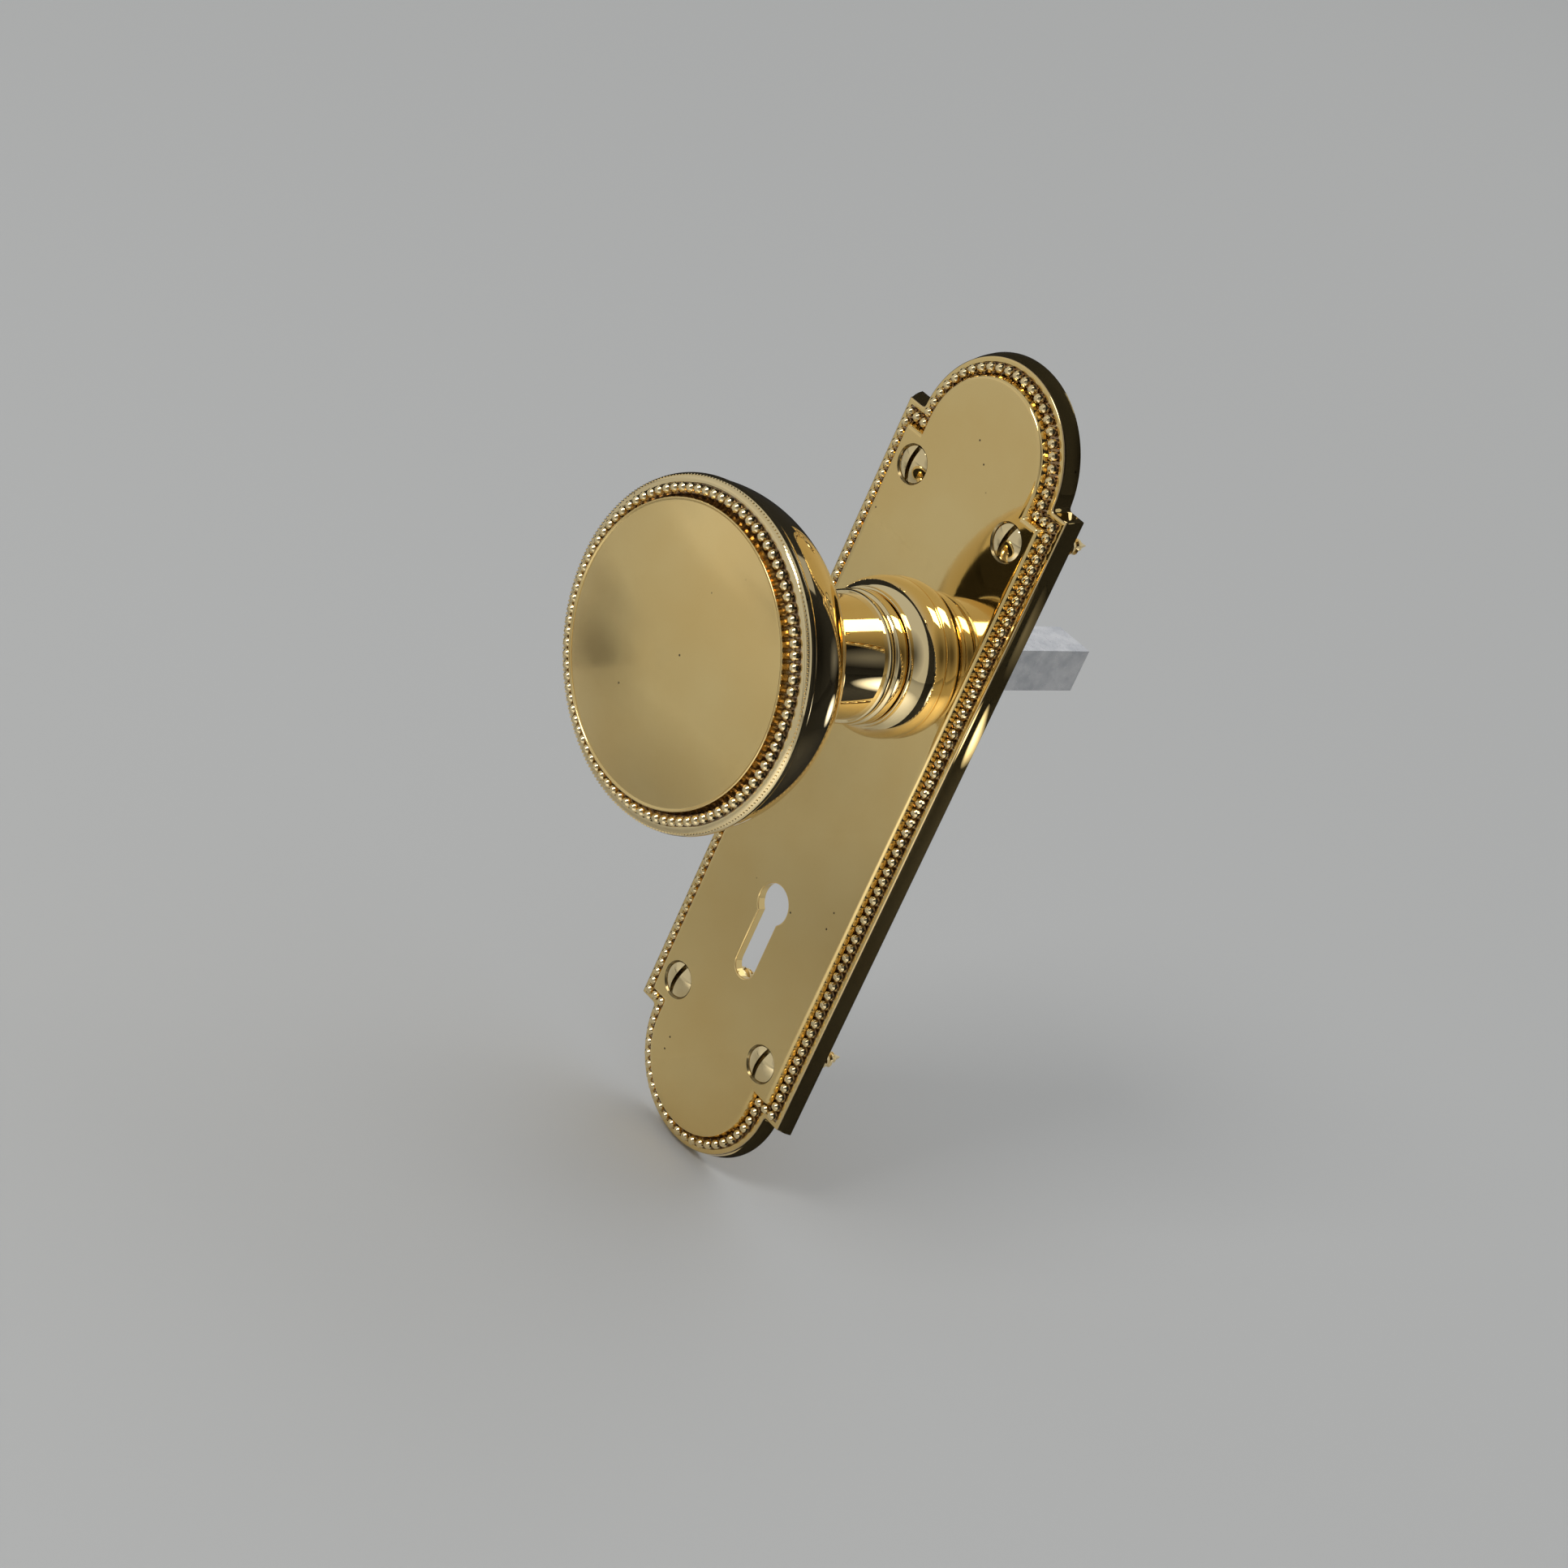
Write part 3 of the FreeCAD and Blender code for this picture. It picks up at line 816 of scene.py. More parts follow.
    def build_shell(self) -> None:
        """Build the plate, with painted shade darkening its countersinks and another finish in its hollow."""
        bm = self.border()
        panel, back = self.panel_height, self.panel_back
        self.drill(bm, 0.0, self.centre_drop, (self.collar_hole_radius, panel), (self.collar_hole_radius, back))
        mouth, hole, boss = self.screw_mouth_radius, self.screw_hole_radius, self.screw_boss_radius
        countersink = panel - (mouth - hole)
        for side in (-1, 1):
            for end in (-1, 1):
                self.drill(bm, side * self.screw_spacing_x / 2, end * self.screw_spacing_z / 2,
                           (mouth, panel), (hole, countersink), (hole, 0.0), (boss, 0.0), (boss, back))
        self.keyhole(bm)
        flats = self.fill(bm, panel, -1.0) + self.fill(bm, back, 1.0)
        bmesh.ops.recalc_face_normals(bm, faces=bm.faces[:])
        flat_set = set(flats)
        for face in bm.faces:
            x, y, z = face.calc_center_median()
            across = math.hypot(abs(x) - self.screw_spacing_x / 2, abs(z) - self.screw_spacing_z / 2)
            # Countersink faces take the material with painted shade.
            if across < mouth - MERGE and face not in flat_set and -y > countersink - self.seat_reach:
                face.material_index = 1
            elif self.in_hollow(face):
                face.material_index = 2
        bmesh.ops.translate(bm, vec=(0, 0, -self.centre_drop), verts=bm.verts[:])
        piece = finished(bm, "backplate_shell", Body.PLATE, [self.finish, self.seat_shade_finish, self.back_finish], flats)
        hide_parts("backplate")

    def bead_places(self) -> list[Place]:
        """Spread beads evenly along each side, shoulder and arch.

        Returns:
            Their places as (x, z from the middle of the plate).
        """
        width = self.half_width - self.bead_inset
        radius = self.arch_radius - self.bead_inset
        shoulder = self.arch_level - self.bead_inset
        arch = [around((0.0, self.arch_level), radius, math.radians(180 * step / self.bead_arch_steps))
                for step in range(self.bead_arch_steps + 1)]
        runs = ([(width, -shoulder), (width, shoulder)],
                [(width, shoulder), (radius, shoulder)],
                [(radius, shoulder), *arch, (-radius, shoulder)],
                [(-radius, shoulder), (-width, shoulder)])
        places = []
        for run in runs:
            steps = [math.dist(first, second) for first, second in zip(run, run[1:])]
            count = round(sum(steps) / self.bead_pitch)
            for index in range(count):
                travel = sum(steps) * index / count
                for first, second, step in zip(run, run[1:], steps):
                    if travel <= step:
                        share = travel / step
                        places.append((first[0] + (second[0] - first[0]) * share,
                                       first[1] + (second[1] - first[1]) * share))
                        break
                    travel -= step
        return places + [(-x, -z) for x, z in places]

    def build_beading(self) -> None:
        """Build the beads in the channel."""
        bead = round_bead(self.bead_radius, self.bead_rise)
        bm = bmesh.new()
        for x, z in self.bead_places():
            append(bm, bead, Matrix.Translation((x, -self.channel_height, z - self.centre_drop)))
        finished(bm, "backplate_beading", Body.PLATE, [self.bead_finish])


# Screws

@dataclass
class PlateScrews:
    """Four slotted oval-head wood screws, each slot left at its own angle."""

    plate: Backplate
    finish: Material
    # Material with painted shade for the slots.
    slot_shade_finish: Material
    head_radius: float = 3.15
    shank_radius: float = 1.6
    head_edge: float = 4.76
    seat_gap: float = 0.03
    seat_round: float = 0.2
    oval_rise: float = 1.0
    slot_width: float = 0.9
    slot_depth: float = 1.1
    length: float = 19.0
    shank_round: float = 0.1
    core_start: float = -0.4
    core_radius: float = 1.2
    thread_radius: float = 1.6
    thread_pitch: float = 1.3
    thread_start: float = -0.7
    thread_runout: float = 0.9
    thread_root: float = 0.25
    thread_flank: float = 0.36
    thread_steps: int = 20
    thread_taper: float = 0.15
    tip_length: float = 3.0
    tip_round: float = 0.3
    tip_radius: float = 0.1
    slot_turns: tuple[float, ...] = (-3.0, 5.0, 6.0, 5.0)

    @property
    def point(self) -> float:
        """Height of the screw's point."""
        return self.head_edge - self.length

    def head_and_shank(self) -> BMesh:
        """Turn the screw and cut its slot.

        Returns:
            The closed screw without its thread, on the knob axis.
        """
        top = self.head_edge + self.oval_rise
        halfway = self.head_radius / 2
        section = Section(0.0, top)
        section.arc((halfway, dome_height(top, self.oval_rise, self.head_radius, halfway)),
                    (self.head_radius, self.head_edge), steps=16)
        section.line(
            (self.head_radius - self.seat_gap, self.head_edge - self.seat_gap),
            (self.shank_radius, self.head_edge - (self.head_radius - self.shank_radius) + self.seat_gap,
             self.seat_round),
            (self.shank_radius, 0.0, self.shank_round),
            (self.core_radius, self.core_start),
            (self.core_radius, self.point + self.tip_length, self.tip_round),
            (self.tip_radius, self.point),
            (0.0, self.point))
        floor = top - self.slot_depth
        size = (self.slot_width, 2 * self.slot_depth, 3 * self.head_radius, 1.0)
        cutter = bmesh.new()
        bmesh.ops.create_cube(cutter, size=1.0, matrix=Matrix.Translation(
            (0, -floor - self.slot_depth, 0)) @ Matrix.Diagonal(size))
        screw = carved(section.turned(steps=96, ring=False), cutter)
        # Slot faces take the second material, with painted shade.
        for face in screw.faces:
            x, y, _ = face.calc_center_median()
            face.material_index = int(abs(x) < self.slot_width / 2 + MERGE and -y > floor - MERGE)
        return screw

    def thread(self) -> BMesh:
        """Wind the thread round the core and taper it towards the point.

        Returns:
            The closed thread.
        """
        bm = bmesh.new()
        start, radius = self.thread_start, self.core_radius - self.thread_root
        half = self.thread_pitch * self.thread_flank
        corners = [(radius, start + half), (self.thread_radius, start), (radius, start - half)]
        verts = [bm.verts.new((across, -height, 0.0)) for across, height in corners]
        bm.faces.new(verts)
        drop = start - self.point - self.thread_runout
        turns = drop / self.thread_pitch
        steps = round(turns * self.thread_steps)
        bmesh.ops.spin(bm, geom=whole(bm), **KNOB_AXIS, angle=turns * math.tau, dvec=(0, drop / steps, 0),
                       steps=steps)
        for vert in bm.verts:
            share = max(self.thread_taper, (-vert.co.y - self.point) / self.tip_length)
            if share < 1:
                vert.co.x *= share
                vert.co.z *= share
        bmesh.ops.recalc_face_normals(bm, faces=bm.faces[:])
        return bm

    def build(self) -> None:
        """Build the four screws, with painted shade darkening the inside of their slots."""
        screw = self.head_and_shank()
        append(screw, mesh_of(self.thread(), "thread"))
        part = mesh_of(screw, "screw")
        bm = bmesh.new()
        places = [(side * self.plate.screw_spacing_x / 2,
                   end * self.plate.screw_spacing_z / 2 - self.plate.centre_drop)
                  for end in (1, -1) for side in (-1, 1)]
        for (x, z), turn in zip(places, self.slot_turns):
            append(bm, part, Matrix.Translation((x, 0, z)) @ Matrix.Rotation(math.radians(turn), 4, "Y"))
        piece = finished(bm, "oval_head_screws", Body.PLATE, [self.finish, self.slot_shade_finish])
        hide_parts("plate_screws")


# Collar and bush

@dataclass
class CollarAndBush:
    """Turned boss on the plate and the flanged bush in its mouth."""

    plate: Backplate
    finish: Material
    base_radius: float = 13.5
    foot_round: Place = (0.2, 0.25)
    foot_bulge: Place = (0.03, 0.07)
    top_radius: float = 11.7
    height: float = 5.8
    swell: float = 0.75
    lip_height: float = 0.8
    lip_inset: float = 0.1
    lip_round: float = 0.2
    swage_radius: float = 11.4
    swage_thickness: float = 0.6
    bush_radius: float = 9.2
    bush_gap: float = 0.01
    flange_radius: float = 11.25
    flange_thickness: float = 2.2
    flange_round: float = 0.15
    bevel_round: float = 0.12
    groove_width: float = 0.45
    groove_depth: float = 0.6
    edge_bevel: float = 0.45
    bore_radius: float = 7.55

    @property
    def face(self) -> float:
        """Height of the collar's face."""
        return self.plate.panel_height + self.height + self.lip_height

    @property
    def back(self) -> float:
        """Height of the swaged end behind the panel."""
        return self.plate.panel_back - self.swage_thickness

    def build_collar(self) -> None:
        """Build the collar."""
        panel = self.plate.panel_height
        spigot = self.plate.collar_hole_radius
        top = panel + self.height
        side = ((self.base_radius + self.top_radius) / 2 + self.swell, panel + self.height / 2)
        lip = self.top_radius - self.lip_inset
        section = Section(spigot, panel)
        section.line((self.base_radius - self.foot_round[0], panel))
        section.arc((self.base_radius - self.foot_bulge[0], panel + self.foot_bulge[1]),
                    (self.base_radius, panel + self.foot_round[1]), steps=4)
        section.arc(side, (self.top_radius, top), steps=22)
        section.line(
            (lip, top), (lip, self.face, self.lip_round), (self.bush_radius, self.face),
            (self.bush_radius, self.back), (self.swage_radius, self.back, self.lip_round),
            (self.swage_radius, self.plate.panel_back), (spigot, self.plate.panel_back))
        piece = finished(section.turned(), "turned_collar", Body.PLATE, [self.finish])
        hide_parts("collar")

    def build_bush(self) -> None:
        """Build the bush."""
        groove_top = self.face + self.groove_width
        face = groove_top + self.flange_thickness
        groove_radius = self.flange_radius - self.groove_depth
        outer = self.bush_radius - self.bush_gap
        section = Section(self.bore_radius, self.back)
        section.line(
            (outer, self.back), (outer, self.face), (groove_radius, self.face), (groove_radius, groove_top),
            (self.flange_radius, groove_top, self.flange_round),
            (self.flange_radius, face - self.edge_bevel, self.flange_round),
            (self.flange_radius - self.edge_bevel, face, self.bevel_round),
            (self.bore_radius, face))
        piece = finished(section.turned(), "flanged_bush", Body.PLATE, [self.finish])
        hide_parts("collar_bush")


# Knob

@dataclass
class Knob:
    """Shank with its neck, spun bowl with a rolled rim, and pressed face with a ring of beads."""

    shank_finish: Material
    bowl_finish: Material
    face_finish: Material
    bead_finish: Material
    journal_radius: float = 7.5
    journal_end: float = 0.3
    journal_round: float = 0.3
    neck_start: float = 14.55
    neck_end_radius: float = 11.1
    neck_end_bead: float = 1.3
    neck_end_edge: float = 0.3
    neck_root_radius: float = 10.4
    neck_waist_radius: float = 9.9
    neck_cove: float = 1.6
    spigot_radius: float = 8.0
    rivet_radius: float = 9.0
    rivet_height: float = 0.8
    rivet_rounds: Place = (0.1, 0.2)
    circlip_groove: tuple[float, float, float] = (6.9, 1.0, 2.0)
    socket_width: float = 8.1
    socket_end: float = 24.8
    cutter_reach: float = 1.0
    grub_radius: float = 2.5
    grub_height: float = 19.55
    grub_length: float = 12.0
    grub_offset: float = -8.0
    knob_radius: float = 28.575
    rim_centre: float = 50.25
    rim_round: float = 1.35
    rim_start: float = math.radians(-50)
    bowl_radius: float = 28.2
    bowl_depth: float = 21.5
    bowl_top_inset: float = 0.15
    shell: float = 1.0
    washer_thickness: float = 1.2
    lip_radius: float = 27.1
    ledge_radius: float = 26.1
    face_radius: float = 27.0
    face_sink: float = 0.2
    face_flange: float = 1.0
    face_sheet: float = 0.9
    face_rounds: tuple[float, float, float] = (0.1, 0.12, 0.05)
    bead_radius: float = 0.88
    bead_rise: float = 1.5
    bead_ring_radius: float = 26.15
    bead_count: int = 90
    floor_radius: float = 25.2
    cove_top_radius: float = 24.65
    cove_height: float = 1.75
    cove_hollow: float = 0.15
    edge_line: float = 0.25
    edge_line_middle: Place = (0.5, 0.85)
    edge_line_end: Place = (1.3, 0.5)
    dome_rise: float = 3.3
    round_steps: int = 240
    mill_count: int = 250
    mill_turn: float = math.radians(45)
    mill_foot: float = 0.34
    mill_top: float = 0.12
    mill_narrowing: float = 0.8

    @property
    def seat(self) -> Place:
        """Radius and height of the neck's end on the bowl."""
        radius = self.neck_waist_radius + self.neck_cove
        return radius, self.bowl_level(radius)

    @property
    def crest(self) -> float:
        """Height of the rim's highest line."""
        return self.rim_centre + self.rim_round

    def bowl_level(self, radius: float, inward: float = 0.0) -> float:
        """Height of the bowl at a radius, or of the inside of its wall if its thickness is given."""
        share = radius / (self.bowl_radius - inward)
        return self.rim_centre - (self.bowl_depth - inward) * math.sqrt(1 - share ** 2)

    def on_rim(self, turn: float) -> Place:
        """Radius and height on the rolled rim, at a turn from its widest line."""
        return around((self.knob_radius - self.rim_round, self.rim_centre), self.rim_round, turn)

    def build_shank(self) -> None:
        """Build the journal, neck and riveted spigot, with the spindle's socket and the grub hole."""
        seat_radius, seat = self.seat
        rivet_seat = seat + self.shell + self.washer_thickness
        rivet_top = rivet_seat + self.rivet_height
        bead_top = self.neck_start + self.neck_end_bead
        bead_edge = self.neck_end_radius - self.neck_end_edge
        groove_radius, groove_back, groove_front = self.circlip_groove
        cove_foot = seat - self.neck_cove
        section = Section(0.0, self.journal_end)
        section.line(
            (self.journal_radius, self.journal_end, self.journal_round), (self.journal_radius, groove_back),
            (groove_radius, groove_back), (groove_radius, groove_front), (self.journal_radius, groove_front),
            (self.journal_radius, self.neck_start), (bead_edge, self.neck_start))
        section.arc((self.neck_end_radius, (self.neck_start + bead_top) / 2), (bead_edge, bead_top), steps=10)
        section.line((self.neck_root_radius, bead_top), (self.neck_waist_radius, cove_foot))
        section.arc(around((seat_radius, cove_foot), self.neck_cove, 1.5 * QUARTER), (seat_radius, seat),
                    steps=12)
        section.line(
            (self.spigot_radius, seat), (self.spigot_radius, rivet_seat),
            (self.rivet_radius, rivet_seat, self.rivet_rounds[0]),
            (self.spigot_radius, rivet_top, self.rivet_rounds[1]), (0.0, rivet_top))
        socket = bmesh.new()
        length = self.socket_end + self.cutter_reach
        bmesh.ops.create_cube(socket, size=1.0, matrix=Matrix.Translation(
            (0, self.cutter_reach - length / 2, 0)) @ Matrix.Diagonal(
            (self.socket_width, length, self.socket_width, 1.0)))
        grub = bmesh.new()
        bmesh.ops.create_cone(
            grub, cap_ends=True, segments=40, radius1=self.grub_radius, radius2=self.grub_radius,
            depth=self.grub_length, matrix=Matrix.Translation((0, -self.grub_height, self.grub_offset)))
        shank = carved(carved(section.turned(ring=False), socket), grub)
        piece = finished(shank, "knob_shank_and_neck", Body.KNOB, [self.shank_finish])
        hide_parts("knob_shank")

    def build_bowl(self) -> None:
        """Build the spun bowl with its rim."""
        seat_radius, seat = self.seat
        washer_seat = seat + self.shell
        face_seat = self.crest - self.face_sink - self.face_flange
        wall_top = self.bowl_radius - self.bowl_top_inset
        inner_top = wall_top - self.shell
        inner_radius, inner_depth = self.bowl_radius - self.shell, self.bowl_depth - self.shell
        inner_share = (self.rim_centre - washer_seat) / inner_depth
        section = Section(seat_radius, seat)
        section.oval(self.bowl_radius, self.bowl_depth, self.rim_centre, wall_top, steps=48)
        section.line(self.on_rim(self.rim_start))
        section.arc(self.on_rim((self.rim_start + QUARTER) / 2), self.on_rim(QUARTER), steps=16)
        section.line(
            (self.lip_radius, self.crest), (self.lip_radius, face_seat), (self.ledge_radius, face_seat),
            (self.ledge_radius, face_seat - self.shell), (inner_top, face_seat - self.shell),
            (inner_top, self.bowl_level(inner_top, self.shell)))
        inner_end = inner_radius * math.sqrt(1 - inner_share ** 2)
        section.oval(inner_radius, inner_depth, self.rim_centre, inner_end, steps=24)
        section.line((self.spigot_radius, washer_seat), (self.spigot_radius, seat))
        piece = finished(section.turned(self.round_steps), "spun_bowl", Body.KNOB, [self.bowl_finish])
        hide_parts("knob_bowl")

    def build_milling(self) -> None:
        """Build the fine milled line on the rim."""
        radius, height = self.on_rim(self.mill_turn)
        place = Matrix.Translation((radius, -height, 0)) @ Matrix.Rotation(-self.mill_turn, 4, "Z")
        lying = Matrix.Rotation(QUARTER, 4, "Y") @ Matrix.Scale(self.mill_narrowing, 4, (0, 1, 0))
        bm = bmesh.new()
        bmesh.ops.create_cone(bm, cap_ends=True, segments=6, radius1=self.mill_foot, radius2=self.mill_top,
                              depth=self.mill_foot, matrix=place @ lying)
        ringed(bm, self.mill_count)
        finished(bm, "rim_milling", Body.KNOB, [self.bowl_finish])

    def build_face(self) -> None:
        """Build the pressed face without its beads."""
        floor = self.crest - self.face_sink
        seat = floor - self.face_flange
        dome_edge = floor + self.cove_height
        dome_radius = self.cove_top_radius - 2 * self.edge_line
        apex = dome_edge + self.dome_rise
        cove = ((self.floor_radius + self.cove_top_radius) / 2 - self.cove_hollow, floor + self.cove_height / 2)
        under = apex - self.face_sheet
        inner_radius = dome_radius - self.face_sheet
        flange_round, floor_round, dome_round = self.face_rounds
        section = Section(0.0, under)
        section.arc((inner_radius / 2, dome_height(under, self.dome_rise, dome_radius, inner_radius / 2)),
                    (inner_radius, dome_edge - self.face_sheet), steps=12)
        section.line((inner_radius, seat), (self.face_radius, seat), (self.face_radius, floor, flange_round),
                     (self.floor_radius, floor, floor_round))
        section.arc(cove, (self.cove_top_radius, dome_edge), steps=8)
        line_middle, line_end = (
            (self.cove_top_radius - self.edge_line * inward, dome_edge + self.edge_line * rise)
            for inward, rise in (self.edge_line_middle, self.edge_line_end))
        section.arc(line_middle, line_end, steps=6)
        section.line((dome_radius, dome_edge, dome_round))
        section.arc((dome_radius / 2, dome_height(apex, self.dome_rise, dome_radius, dome_radius / 2)),
                    (0.0, apex), steps=64)
        shell = section.turned(self.round_steps, ring=False)
        piece = finished(shell, "pressed_face", Body.KNOB, [self.face_finish])
        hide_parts("knob_face")

    def build_beading(self) -> None:
        """Build the ring of beads on the face."""
        bm = bmesh.new()
        place = Matrix.Translation((self.bead_ring_radius, self.face_sink - self.crest, 0))
        append(bm, round_bead(self.bead_radius, self.bead_rise), place)
        ringed(bm, self.bead_count)
        finished(bm, "face_beading", Body.KNOB, [self.bead_finish])


# Hidden fittings

@dataclass
class HiddenFittings:
    """Steel parts behind and inside, shown as the CAD has them."""

    finish: Material
    nodes: tuple[str, ...] = ("spindle", "grub_screw", "thrust_washer", "circlip", "backing_washer")

    def dress(self) -> None:
        """Give the CAD nodes their finish."""
        for name in self.nodes:
            for material_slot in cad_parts[name].material_slots:
                material_slot.material = self.finish
            log.info("%s: CAD node in %s", name, self.finish.name)


# Studio

@dataclass
class Studio:
    """Pale floor, dark flag behind the plate and glowing cards, both seen only in reflections, soft lights and the
    camera at the photograph's angle.
    """

    plate: Backplate
    floor_size: float = 16.0
    floor_colour: Colour = (0.54, 0.54, 0.53)
    world_colour: Colour = (0.51, 0.52, 0.53)
    card_lift: float = 0.0015
    card_step: float = 0.0005
    card_core: float = 0.15
    flag_radius: float = 3.0
    flag_offset: float = 0.0012
    # The flag's colour and faint gloss are seen only in reflections: a painted dark reflection.
    flag_colour: Colour = (0.006, 0.006, 0.006)
    flag_gloss: Colour = (0.04, 0.04, 0.04)
    flag_roughness: float = 0.06
    flag_segments: int = 48
    flag_gap: float = 0.0002
    window_spread: float = 0.6
    camera_place: Point = (0.3715, -0.456594, 0.232495)
    camera_right: Point = (0.58651, 0.71559, 0.37939)
    camera_up: Point = (-0.556788, 0.016043, 0.8305)
    camera_forward: Point = (-0.588207, 0.69834, -0.407839)
    lens: float = 87.459
    sensor: float = 36.0
    nearest: float = 0.01
    farthest: float = 60.0

    def staged(self, bm: BMesh, name: str, material: Material) -> Object:
        """Turn a mesh into an object that isn't part of the model.

        Args:
            bm: the mesh.
            name: its name.
            material: its material.

        Returns:
            The object.
        """
        item = placed(name, mesh_of(bm, name))
        item.data.materials.append(material)
        return item

    def for_metal(self, bench: Bench, bm: BMesh, name: str, shader: NodeSocket, share: NodeSocket) -> None:
        """Stage a flat thing that is seen in reflections alone.

        Args:
            bench: bench of its material.
            bm: its mesh.
            name: its name.
            shader: its surface.
            share: share of the surface in what is seen there; the rest is clear.
        """
        mix = bench.add("MixShader", {0: share, 1: bench.add("BsdfTransparent", {}), 2: shader})
        bench.fill(bench.tree.nodes["Material Output"], {"Surface": mix})
        item = self.staged(bm, name, bench.material)
        item.visible_camera = False
        item.visible_diffuse = False
        item.visible_transmission = False
        item.visible_shadow = False

    def matt(self, name: str, colour: Colour) -> Bench:
        """Start a matt material.

        Args:
            name: its name.
            colour: its colour.

        Returns:
            The bench that holds it.
        """
        bench = Bench(name)
        bench.fill(bench.shader, {"Base Color": colour, "Roughness": 1.0, "Specular IOR Level": 0.0})
        return bench

    def build_floor(self) -> None:
        """Lay the floor at the object's lowest point."""
        bm = bmesh.new()
        bmesh.ops.create_grid(bm, x_segments=1, y_segments=1, size=self.floor_size / 2,
                              matrix=Matrix.Translation((0, 0, cad_box[0].z)))
        self.staged(bm, "floor", self.matt("floor_paper", self.floor_colour).material)

    def build_flag(self) -> None:
        """Stand a dark flag behind the plate, seen only in reflections as a painted dark reflection, with a window
        that the plate's hollow looks out through.
        """
        bench = self.matt("flag_dark_reflection", self.flag_colour)
        gloss = bench.add("BsdfGlossy", {"Color": self.flag_gloss, "Roughness": self.flag_roughness})
        cloth = bench.add("AddShader", {0: bench.shader.outputs[0], 1: gloss})
        back = bench.add("NewGeometry", {}, "Backfacing")
        bm = bmesh.new()
        bmesh.ops.create_circle(bm, cap_ends=False, segments=self.flag_segments,
                                radius=(self.plate.arch_radius + self.window_spread) * MM, matrix=UPRIGHT)
        for vert in bm.verts:
            vert.co.z += math.copysign(self.plate.arch_level, vert.co.z) * MM
        bmesh.ops.translate(bm, vec=(0, 0, -self.plate.centre_drop * MM), verts=bm.verts[:])
        bmesh.ops.create_circle(bm, cap_ends=False, segments=self.flag_segments, radius=self.flag_radius,
                                matrix=UPRIGHT)
        bmesh.ops.triangle_fill(
            bm, use_beauty=True, use_dissolve=False, edges=bm.edges[:], normal=OUTWARDS)
        bm.normal_update()
        bmesh.ops.reverse_faces(bm, faces=[face for face in bm.faces if face.normal.y > 0])
        bmesh.ops.translate(bm, vec=(0, self.flag_offset, 0), verts=bm.verts[:])
        self.for_metal(bench, bm, "dark_flag", cloth, bench.ranged(back, 0.0, 1.0, 1.0, 0.0))

    def build_card(self, name: str, place: Point, radius: float, radiance: float, cover: float = 1.0,
                   facing: Point = UP) -> None:
        """Place a soft-edged glowing card that only polished metal sees: a painted reflection that lights nothing.

        Args:
            name: its name.
            place: its centre in metres.
            radius: its radius in metres.
            radiance: how bright it is.
            cover: how much of what is behind it the card hides at its middle.
            facing: direction square to the card.
        """
        # The card only glows and lights nothing: a painted reflection.
        bench = Bench(name + "_paper")
        glow = bench.add("Emission", {"Strength": radiance})
        off_centre = bench.add("VectorMath", {0: bench.place, 1: place}, "Value", operation="DISTANCE")
        share = bench.ranged(off_centre, radius * self.card_core, radius, cover, 0.0)
        turn = Vector(facing).to_track_quat("Z", "Y").to_matrix().to_4x4()
        bm = bmesh.new()
        bmesh.ops.create_grid(bm, x_segments=1, y_segments=1, size=radius,
                              matrix=Matrix.Translation(place) @ turn)
        self.for_metal(bench, bm, name, glow, share)

    def build_cards(self) -> None:
        """Place all the glowing cards that paint highlights and dark patches into the brass's reflections."""
        low = cad_box[0].z + self.card_lift
        higher, highest = low + self.card_step, low + 2 * self.card_step
        # Bright floor card: painted highlights on the plate's right edges, the beads and the rim.
        self.build_card("right_floor_highlight_card", (0.15, -0.14, low), 0.17, 1.25)
        # Dim floor cards: painted shade in reflections, a dark patch on the face's left and a darker lower panel
        # near the foot.
        self.build_card("left_floor_shade_card", (-0.158, -0.126, low), 0.07, 0.05, 0.6)
        self.build_card("left_far_shade_card", (-0.235, -0.158, highest), 0.09, 0.1, 0.35)
        self.build_card("foot_shade_card", (-0.045, -0.10, higher), 0.10, 0.14, 0.42)
        # Large floor card about as bright as the near floor: a painted reflection that hides the horizon in the
        # face.
        self.build_card("front_floor_reflection_card", (-1.25, -1.5, low), 1.7, 0.60)
        # A glowing upright card that carries on the floor's painted reflection, and a dim card by the camera that
        # paints dark reflections into the beads and the neck.
        for name, place, radius, radiance in (
                ("front_glow_card", (-1.45, -1.80, 0.0), 1.3, 0.60),
                ("camera_side_shade_card", (0.72, -0.85, 0.50), 0.75, 0.10)):
            self.build_card(name, place, radius, radiance, facing=place)
        beside = self.flag_offset - self.flag_gap
        # Cards beside the plate: a painted glint on the neck's lower side and a dim painted reflection across its
        # middle.
        self.build_card("neck_glint_card", (0.0275, beside, -0.0045), 0.0062, 3.0, facing=OUTWARDS)
        self.build_card("neck_middle_reflection_card", (0.0275, beside, 0.016), 0.009, 0.16, 0.9, OUTWARDS)

    def build_light(self, name: str, place: Point, size: Place, radiance: float) -> None:
        """Hang a soft box that faces the object.

        Args:
            name: its name.
            place: where it hangs, in metres.
            size: its width and height in metres.
            radiance: how bright its face is.
        """
        data = bpy.data.lights.new(name, "AREA")
        data.shape = "RECTANGLE"
        data.size, data.size_y = size
        data.energy = radiance * math.pi * size[0] * size[1]
        lamp = placed(name, data)
        lamp.location = place
        lamp.rotation_mode = "QUATERNION"
        lamp.rotation_quaternion = Vector(place).to_track_quat("Z", "Y")
        lamp.visible_camera = False

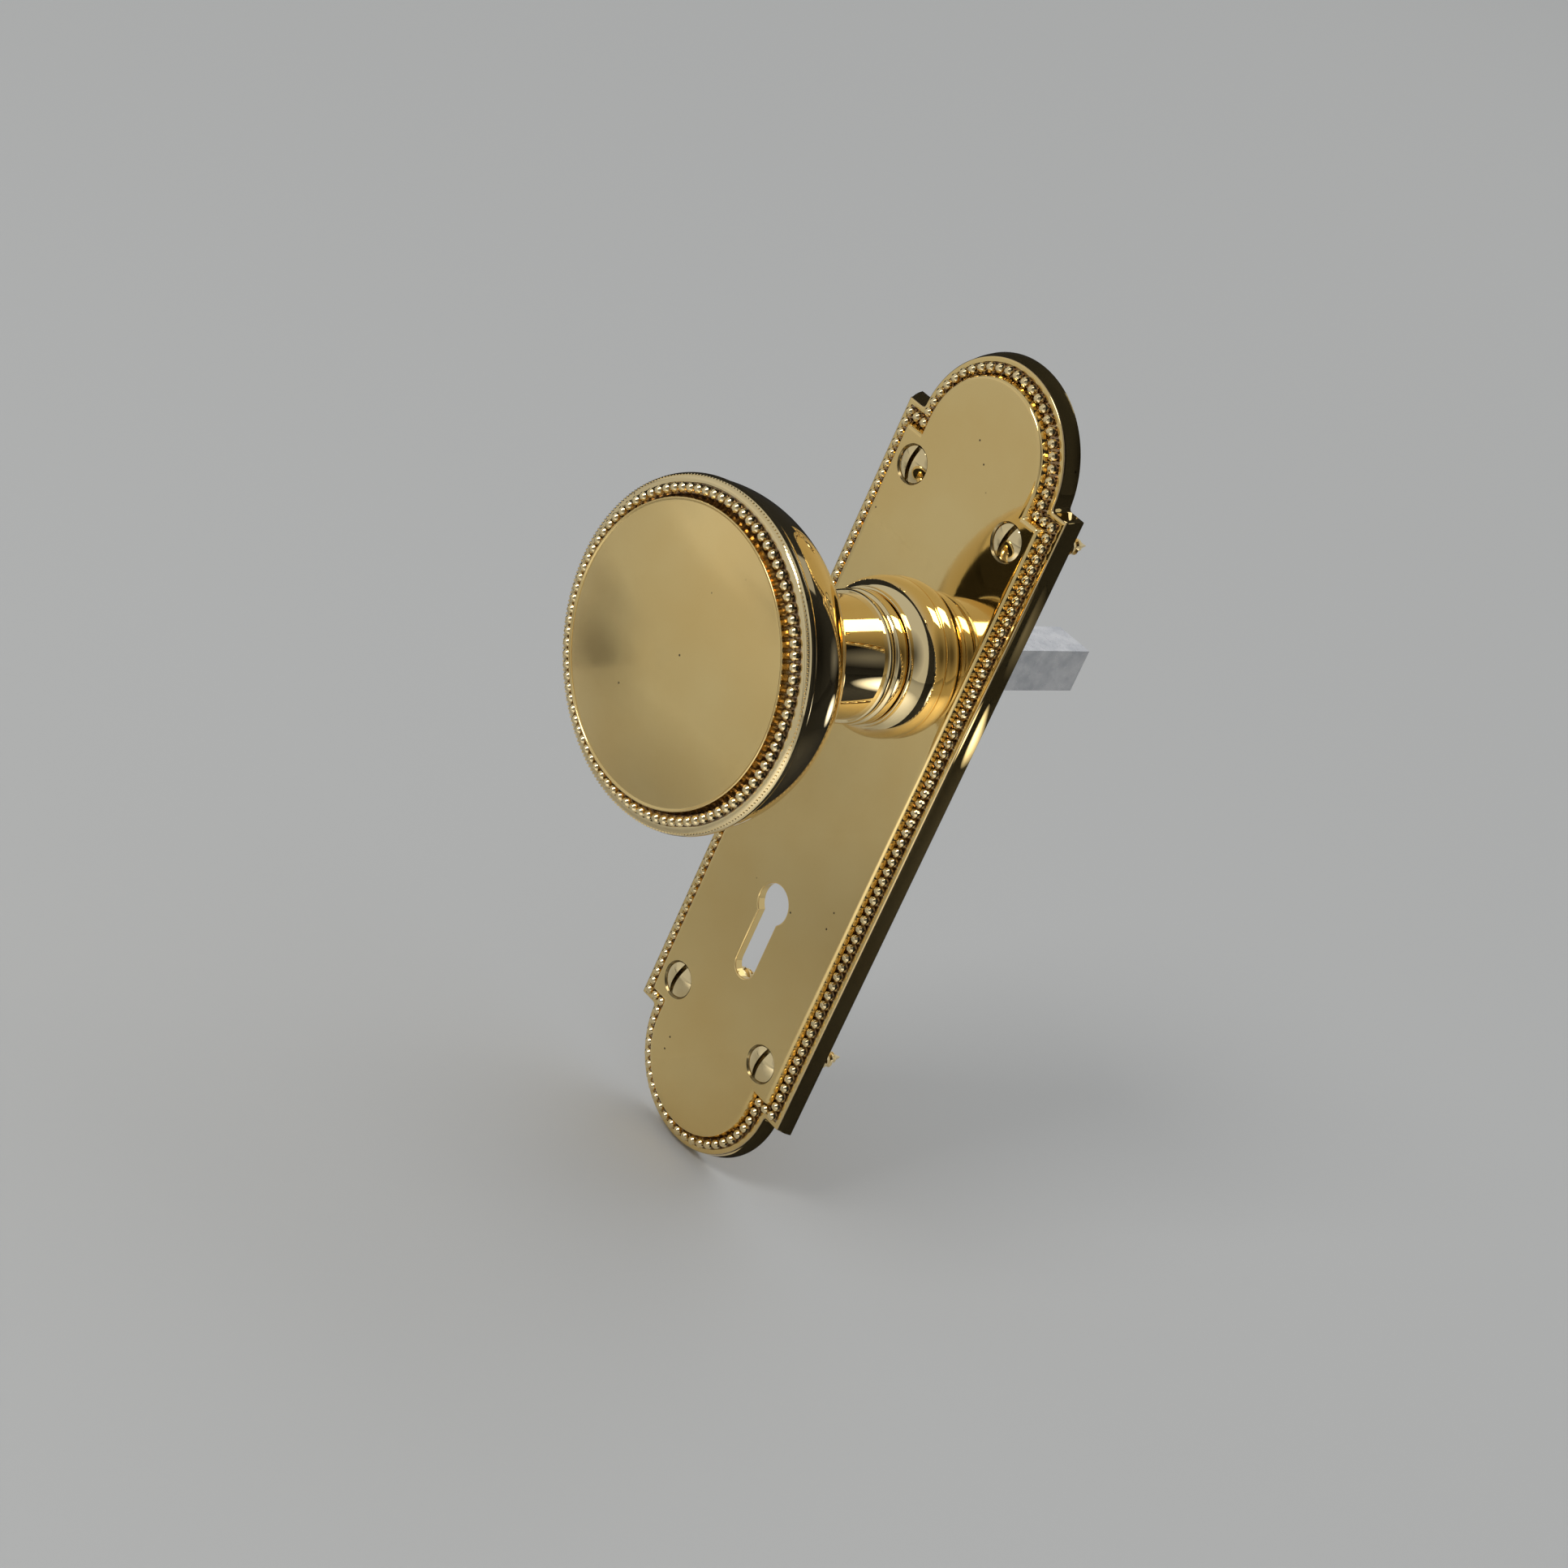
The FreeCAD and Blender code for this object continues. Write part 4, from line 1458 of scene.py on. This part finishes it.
    def build_world(self) -> None:
        """Surround the scene with plain pale light."""
        world = bpy.data.worlds.new("studio_air")
        world.use_nodes = True
        background = world.node_tree.nodes["Background"]
        background.inputs["Color"].default_value = (*self.world_colour, 1.0)
        background.inputs["Strength"].default_value = 1.0
        bpy.context.scene.world = world

    def build_camera(self) -> None:
        """Set the camera at the photograph's viewing angle."""
        data = bpy.data.cameras.new("camera")
        data.lens = self.lens
        data.sensor_width = self.sensor
        data.clip_start, data.clip_end = self.nearest, self.farthest
        camera = placed("camera", data)
        columns = (Vector(self.camera_right), Vector(self.camera_up), -Vector(self.camera_forward))
        turn = Matrix(columns).transposed().to_4x4()
        camera.matrix_world = Matrix.Translation(self.camera_place) @ turn
        bpy.context.scene.camera = camera

    def build(self) -> None:
        """Build the whole studio."""
        self.build_floor()
        self.build_flag()
        self.build_cards()
        self.build_world()
        self.build_light("front_box", (0.0, -0.91, 0.93), (0.40, 0.40), 8.5)
        self.build_light("back_box", (-0.3, 1.3, 1.5), (2.0, 1.6), 0.8)
        self.build_camera()


def main() -> None:
    """Build the pieces in order and log each one."""
    logging.basicConfig(level=logging.INFO, format="%(name)s: %(message)s")
    bpy.context.scene.view_settings.view_transform = "Standard"
    fine = {"bright": (0.90, 0.73, 0.41), "warm": (0.88, 0.69, 0.36), "peel": 3e-7,
            "roughness_low": 0.02, "roughness_high": 0.05}
    # The recess bands darken the plate's channel, the bead roots and the face's cove: partly patina, partly painted
    # shade. The beads take a darker colour so that the gaps between them read dark.
    bead_patina_and_shade = (0.24, 0.18, 0.14)
    panel_brass = PolishedBrass("brass_plate", recess=(2.93, 3.0, 3.2)).material()
    bead_brass = PolishedBrass("brass_plate_beads", patina_and_shade=bead_patina_and_shade, recess=(2.7, 2.9, 4.2), **fine).material()
    # Near-black painted shade in the countersinks round the screw heads and inside the screw slots.
    seat_shade_brass = PolishedBrass(
        "brass_screw_seats_painted_shade", patina_and_shade=(0.04, 0.03, 0.02), recess=(0.0, 5.5, 5.8)).material()
    back_brass = PolishedBrass(
        "brass_plate_back", bright=(0.74, 0.58, 0.33), warm=(0.62, 0.46, 0.24), roughness_low=0.32,
        roughness_high=0.5, pit_free=0.9, peel=6e-6, grain=2e-6).material()
    turned_brass = PolishedBrass("brass_turned", **fine).material()
    bowl_brass = PolishedBrass("brass_bowl", **fine).material()
    face_brass = PolishedBrass(
        "brass_face", recess=(51.2, 51.4, 53.0), roughness_low=0.09, roughness_high=0.15).material()
    face_bead_brass = PolishedBrass(
        "brass_face_beads", patina_and_shade=bead_patina_and_shade, recess=(51.1, 51.3, 52.6), **fine).material()
    steel = ZincSteel("zinc_steel").material()
    plate = Backplate(panel_brass, seat_shade_brass, back_brass, bead_brass)
    plate.build_shell()
    plate.build_beading()
    PlateScrews(plate, turned_brass, seat_shade_brass).build()
    collar = CollarAndBush(plate, turned_brass)
    collar.build_collar()
    collar.build_bush()
    knob = Knob(turned_brass, bowl_brass, face_brass, face_bead_brass)
    knob.build_shank()
    knob.build_bowl()
    knob.build_milling()
    knob.build_face()
    knob.build_beading()
    HiddenFittings(steel).dress()
    Studio(plate).build()


if __name__ == "__main__":
    main()
